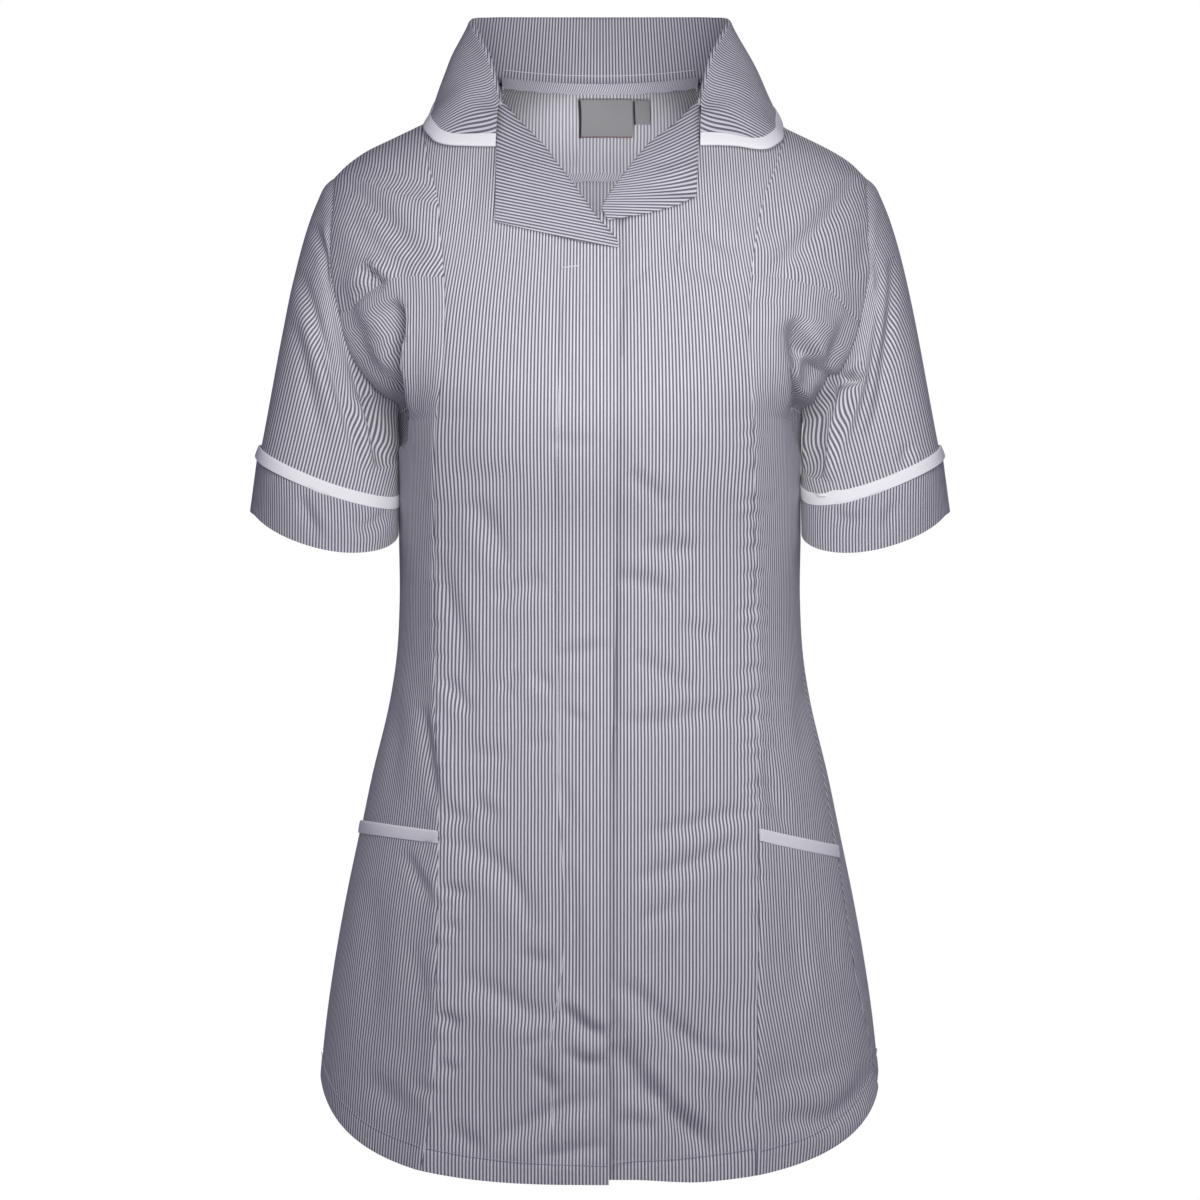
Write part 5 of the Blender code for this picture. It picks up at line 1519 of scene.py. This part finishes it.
def neck_label(name):
    """A bare woven label against the inside of the upper back."""
    size = LABEL_SIZES[name]
    across = np.linspace(*size["across"], 20)[:, None]
    z = np.linspace(*size["height"], 16)
    across, z = np.broadcast_arrays(across, z)
    lift = 0.5 * np.sin((across - size["across"][0]) / 6.0) * np.sin((z - size["height"][0]) / 9.0)
    grid = raised(angle_at(across, z, True), z, -LABEL_INSIDE - lift)
    grain = np.stack([across, z], axis=-1)
    return cloth(name, "label", grid, grain, LABEL_CLOTH, LABEL), grid


def label_edges(name):
    """The dark strip down one side of a label, and the neck label's overlocked lower edge."""
    size = LABEL_SIZES[name]
    first, low = size["across"][0], size["height"][0]
    across = np.linspace(first, first + EDGE_WIDTH[name], 4)[:, None]
    z = np.linspace(low, size["height"][1], 16)
    across, z = np.broadcast_arrays(across, z)
    grid = raised(angle_at(across, z, True), z, -LABEL_INSIDE - 1.3 + 0 * z)
    edges = [cloth(name, "label", grid, np.stack([across, z], axis=-1), 0.3, DARK_EDGE, suffix="_edge")]
    if name == "label":
        across = np.linspace(first, size["across"][1], 60)
        z = 0 * across + low + 0.5
        around = angle_at(across, z, True)
        edges.append(stitches(name, "lower_edge", raised(around, z, -LABEL_INSIDE - 0.8 + 0 * z),
                              -outward(around, z), 1.3, 0.3, RED_THREAD))
    return edges


BAND_INSIDE = 2.0       # outer face of an overlocked seam allowance, inside the back's outer face
INSIDE_CENTRE = np.array((0, -40.0, 0))


def inside_band(label, points, rows, wave):
    """An overlocked seam allowance pressed down inside the back, below the points of its seam."""
    phase = np.arange(len(points)) * 0.42
    z = np.asarray(rows, float) + np.zeros((len(points), 1))
    z[:, -1] += wave * (np.sin(phase * 0.7) + 0.6 * np.sin(phase * 1.9))
    inward = unit((INSIDE_CENTRE - points) * np.array((1, 1, 0)))
    grid = points[:, None] + z[..., None] * np.array((0, 0, 1)) + inward[:, None] * BAND_INSIDE
    grain = own_grain(grid)
    grain[..., 0] += 0.35 * grain[..., 1]
    return cloth("back_yoke", "tape", grid, grain, 0.4, OVERLOCK, False, "_" + label)


# ---------------------------------------------------------------- stitching


def stitches(node, label, points, normal, pitch, radius, material, dip=0.45):
    """A row of stitches: one thread along the points, down into the cloth after each stitch."""
    length = np.concatenate([[0], np.cumsum(np.linalg.norm(np.diff(points, axis=0), axis=-1))])
    count = max(2, int(length[-1] / pitch))
    at = np.linspace(0, length[-1], count * 6 + 1)
    path = np.stack([np.interp(at, length, points[:, i]) for i in range(3)], axis=-1)
    up = unit(np.stack([np.interp(at, length, normal[:, i]) for i in range(3)], axis=-1))
    phase = (np.arange(len(at)) % 6) / 6
    height = np.where(phase == 0, -dip, 0.12 + 0.1 * np.sin(phase * math.pi))
    path = path + up * height[:, None]
    run = unit(np.gradient(path, axis=0))
    beside = unit(np.cross(run, up))
    over = np.cross(beside, run)
    angle = np.linspace(0, 2 * math.pi, 7)
    ring = radius * (beside[:, None] * np.cos(angle)[:, None] + over[:, None] * np.sin(angle)[:, None])
    grid = path[:, None] + ring
    grain = np.zeros(grid.shape[:2] + (2,))
    return cloth(node, "tape", grid, grain, 0, material, True, "_" + label)


def body_stitches(node, label, across, height, pitch, radius=0.22, out=0.1, material=None, behind=False):
    """Stitches along a line on the body seen from the front (or back)."""
    across, height = np.asarray(across, float), np.asarray(height, float)
    around = angle_at(across, height, behind)
    return stitches(node, label, cloth_point(around, height, out), outward(around, height), pitch, radius,
                    material or THREAD)


def hem_stitches(node, start, end, lift=0.0, out=0.45):
    """The row of stitches that holds the hem up, from one angle to another."""
    around = np.linspace(start, end, max(20, int(abs(end - start) * 5)))
    share = np.clip(np.abs(across_at(around, HEM_CENTRE + 0 * around)) / 120, 0, 1)
    z = hem_height(around) + HEM_BAND[0] + (HEM_BAND[1] - HEM_BAND[0]) * share + lift
    return stitches(node, "hem_stitches", cloth_point(around, z, out), outward(around, z), 2.8, 0.2, GREY_THREAD)


# ---------------------------------------------------------------- building the tunic

for hand in (-1, 1):
    side_name = NAMES[hand]
    extra = []
    if hand < 0:
        fly_z = np.linspace(-705, -84, 400)
        fly_x = read(FLY_LINE, "across", fly_z)
        extra.append(body_stitches("front_centre_right", "fly_stitches", fly_x, fly_z, 2.6, 0.3, 0.4))
        tack = np.linspace(-26.5, -14.5, 20)
        height = -82.5 + (tack + 20) * 0.12
        extra.append(body_stitches("front_centre_right", "top_bar_tack", tack, height, 1.0, 0.4, 0.5))
        tack = np.linspace(-601, -589, 20)
        extra.append(body_stitches("front_centre_right", "low_bar_tack", 0 * tack - 28.7, tack, 1.0, 0.4, 0.5))
    seam_at = float(angle_at(princess(-700.0, hand), -700.0))
    side_at = float(side_seam_angle(-650.0, hand))
    edge_at = float(angle_at(FRONT_EDGE["across"][0] + hand * 1.5, -708.0))
    extra.append(hem_stitches("front_centre_" + side_name, seam_at - hand * 0.6, edge_at,
                              UNDER_HEM_LIFT * 0.7 if hand > 0 else 0))
    underarm = np.linspace(139, 149, 20) * hand
    arm_thread = body_stitches("front_side_" + side_name, "underarm_thread", underarm,
                               0 * underarm - 186.0, 2.4, 0.35, 0.6)
    piece, points = front_centre(hand)
    declare(points, extra)
    piece, points = front_side(hand)
    declare(points, [arm_thread])
    piece, points = front_yoke(hand)
    declare(points)
    piece, points, tape = pocket(hand)
    hem_row = hem_stitches("pocket_" + side_name, seam_at + hand * 0.8, side_at - hand * 1.2, 0, 1.75)
    declare(points, [tape, hem_row])
    piece, points, cuff, cuff_points, tape = sleeve(hand)
    declare(points)
    declare(cuff_points, [tape])
    piece, points = lapel(hand)
    declare(points)
for piece, points in back():
    if piece.name.startswith("back_body"):
        hem_row = hem_stitches("back_body", float(side_seam_angle(-650.0, 1)) + 1.2,
                               float(side_seam_angle(-650.0, -1)) % 360 - 1.2)
        declare(points, [hem_row])
        continue
    along = np.linspace(-0.74, 0.74, 240)
    seam_line = whole_neck_seam(along)
    neck_band = inside_band("neck_seam_allowance", seam_line, (4.0, 1.8, 0, -1.8, -3.8), 0.35)
    reach = np.linspace(-100, 100, 200)
    height = np.interp(np.abs(reach), YOKE_SEAM["across"], YOKE_SEAM["height"])
    seam_line = skin(angle_at(reach, height, True), height)
    seam_band = inside_band("yoke_seam_allowance", seam_line, (1, -1, -3, -5), 0.4)
    along = np.linspace(-0.5, 0.5, 300)
    stand_line = whole_neck_seam(along)
    inward = unit((INSIDE_CENTRE - stand_line) * np.array((1, 1, 0)))
    stand_line = stand_line + np.array((0, 0, 9.5)) + inward * 1.6
    stand_row = stitches("collar", "stand_stitches", stand_line, inward, 2.8, 0.22, THREAD)
    declare(points, [neck_band, seam_band])
piece, points, tape = collar()
declare(points, [tape, stand_row])
for label_name in LABEL_SIZES:
    piece, points = neck_label(label_name)
    declare(points, label_edges(label_name))


# ---------------------------------------------------------------- camera, light and floor

FRAME_WIDTH = 0.84      # metres across the picture
CAMERA_AWAY = 30.0      # the photograph is nearly free of perspective
FRAME_CENTRE = -0.315   # height of the picture's middle
LAMP_COLOUR = "#FFFEF8"
AMBIENT = (0.13, 0.127, 0.185, 1)   # what lights the cloth from all round; the camera sees white

camera = bpy.data.objects.new("camera", bpy.data.cameras.new("camera"))
bpy.context.scene.collection.objects.link(camera)
camera.location = (0, -CAMERA_AWAY, FRAME_CENTRE)
camera.rotation_euler = (math.radians(90), 0, 0)
camera.data.sensor_width = 36
camera.data.lens = 36 * CAMERA_AWAY / FRAME_WIDTH
camera.data.clip_end = 200
bpy.context.scene.camera = camera


def area_light(name, place, target, size, power):
    """A soft light box, turned to a target."""
    light = bpy.data.lights.new(name, "AREA")
    light.size = size
    light.energy = power
    light.color = linear(LAMP_COLOUR)[:3]
    holder = bpy.data.objects.new(name, light)
    bpy.context.scene.collection.objects.link(holder)
    holder.location = place
    away = np.array(place, float) - np.array(target, float)
    flat = math.hypot(away[0], away[1])
    holder.rotation_euler = (math.atan2(flat, away[2]), 0, math.atan2(away[0], -away[1]))


area_light("front", (0.06, -0.84, -0.02), (0, 0, -0.2), 0.45, 4.6)
area_light("above", (0.1, -1.3, 0.8), (0, 0, -0.25), 0.22, 3.0)
area_light("side", (0.95, -0.9, 0.1), (0, 0, -0.2), 0.5, 1.8)
area_light("behind", (0.25, 1.3, 0.35), (0, 0, -0.3), 0.6, 6.0)
area_light("upper left", (-0.75, -0.7, 0.2), (-0.15, 0, -0.05), 0.4, 0.8)
inner = bpy.data.lights.new("inside the neck", "SPOT")
inner.energy = 0.42
inner.spot_size = math.radians(62)
inner.spot_blend = 0.6
inner.shadow_soft_size = 0.02
inner_holder = bpy.data.objects.new("inside the neck", inner)
bpy.context.scene.collection.objects.link(inner_holder)
inner_holder.location = (0, -0.05, -0.04)
inner_holder.rotation_euler = (math.atan2(0.14, -0.035), 0, 0)

world = bpy.data.worlds.new("white surroundings")
bpy.context.scene.world = world
world.use_nodes = True
tree = world.node_tree
tree.nodes.clear()
seen = add(tree, "ShaderNodeLightPath")
shade = add(tree, "ShaderNodeMix", {"Factor": seen.outputs["Is Camera Ray"], 6: AMBIENT, 7: (1, 1, 1, 1)},
            data_type="RGBA")
surround = add(tree, "ShaderNodeBackground", {"Color": shade.outputs[2], "Strength": 1.0})
add(tree, "ShaderNodeOutputWorld", {"Surface": surround.outputs[0]})

bpy.context.scene.view_settings.view_transform = "Standard"

bpy.ops.mesh.primitive_plane_add(size=1.6, location=(0, 0.1, -0.95))
floor = bpy.context.active_object
floor.name = "pale_floor"
floor_material = new_material("pale floor", 0.9)[0]
floor_material.node_tree.nodes["Principled BSDF"].inputs["Base Color"].default_value = linear("#F2F2F2")
floor.data.materials.append(floor_material)
floor.select_set(False)
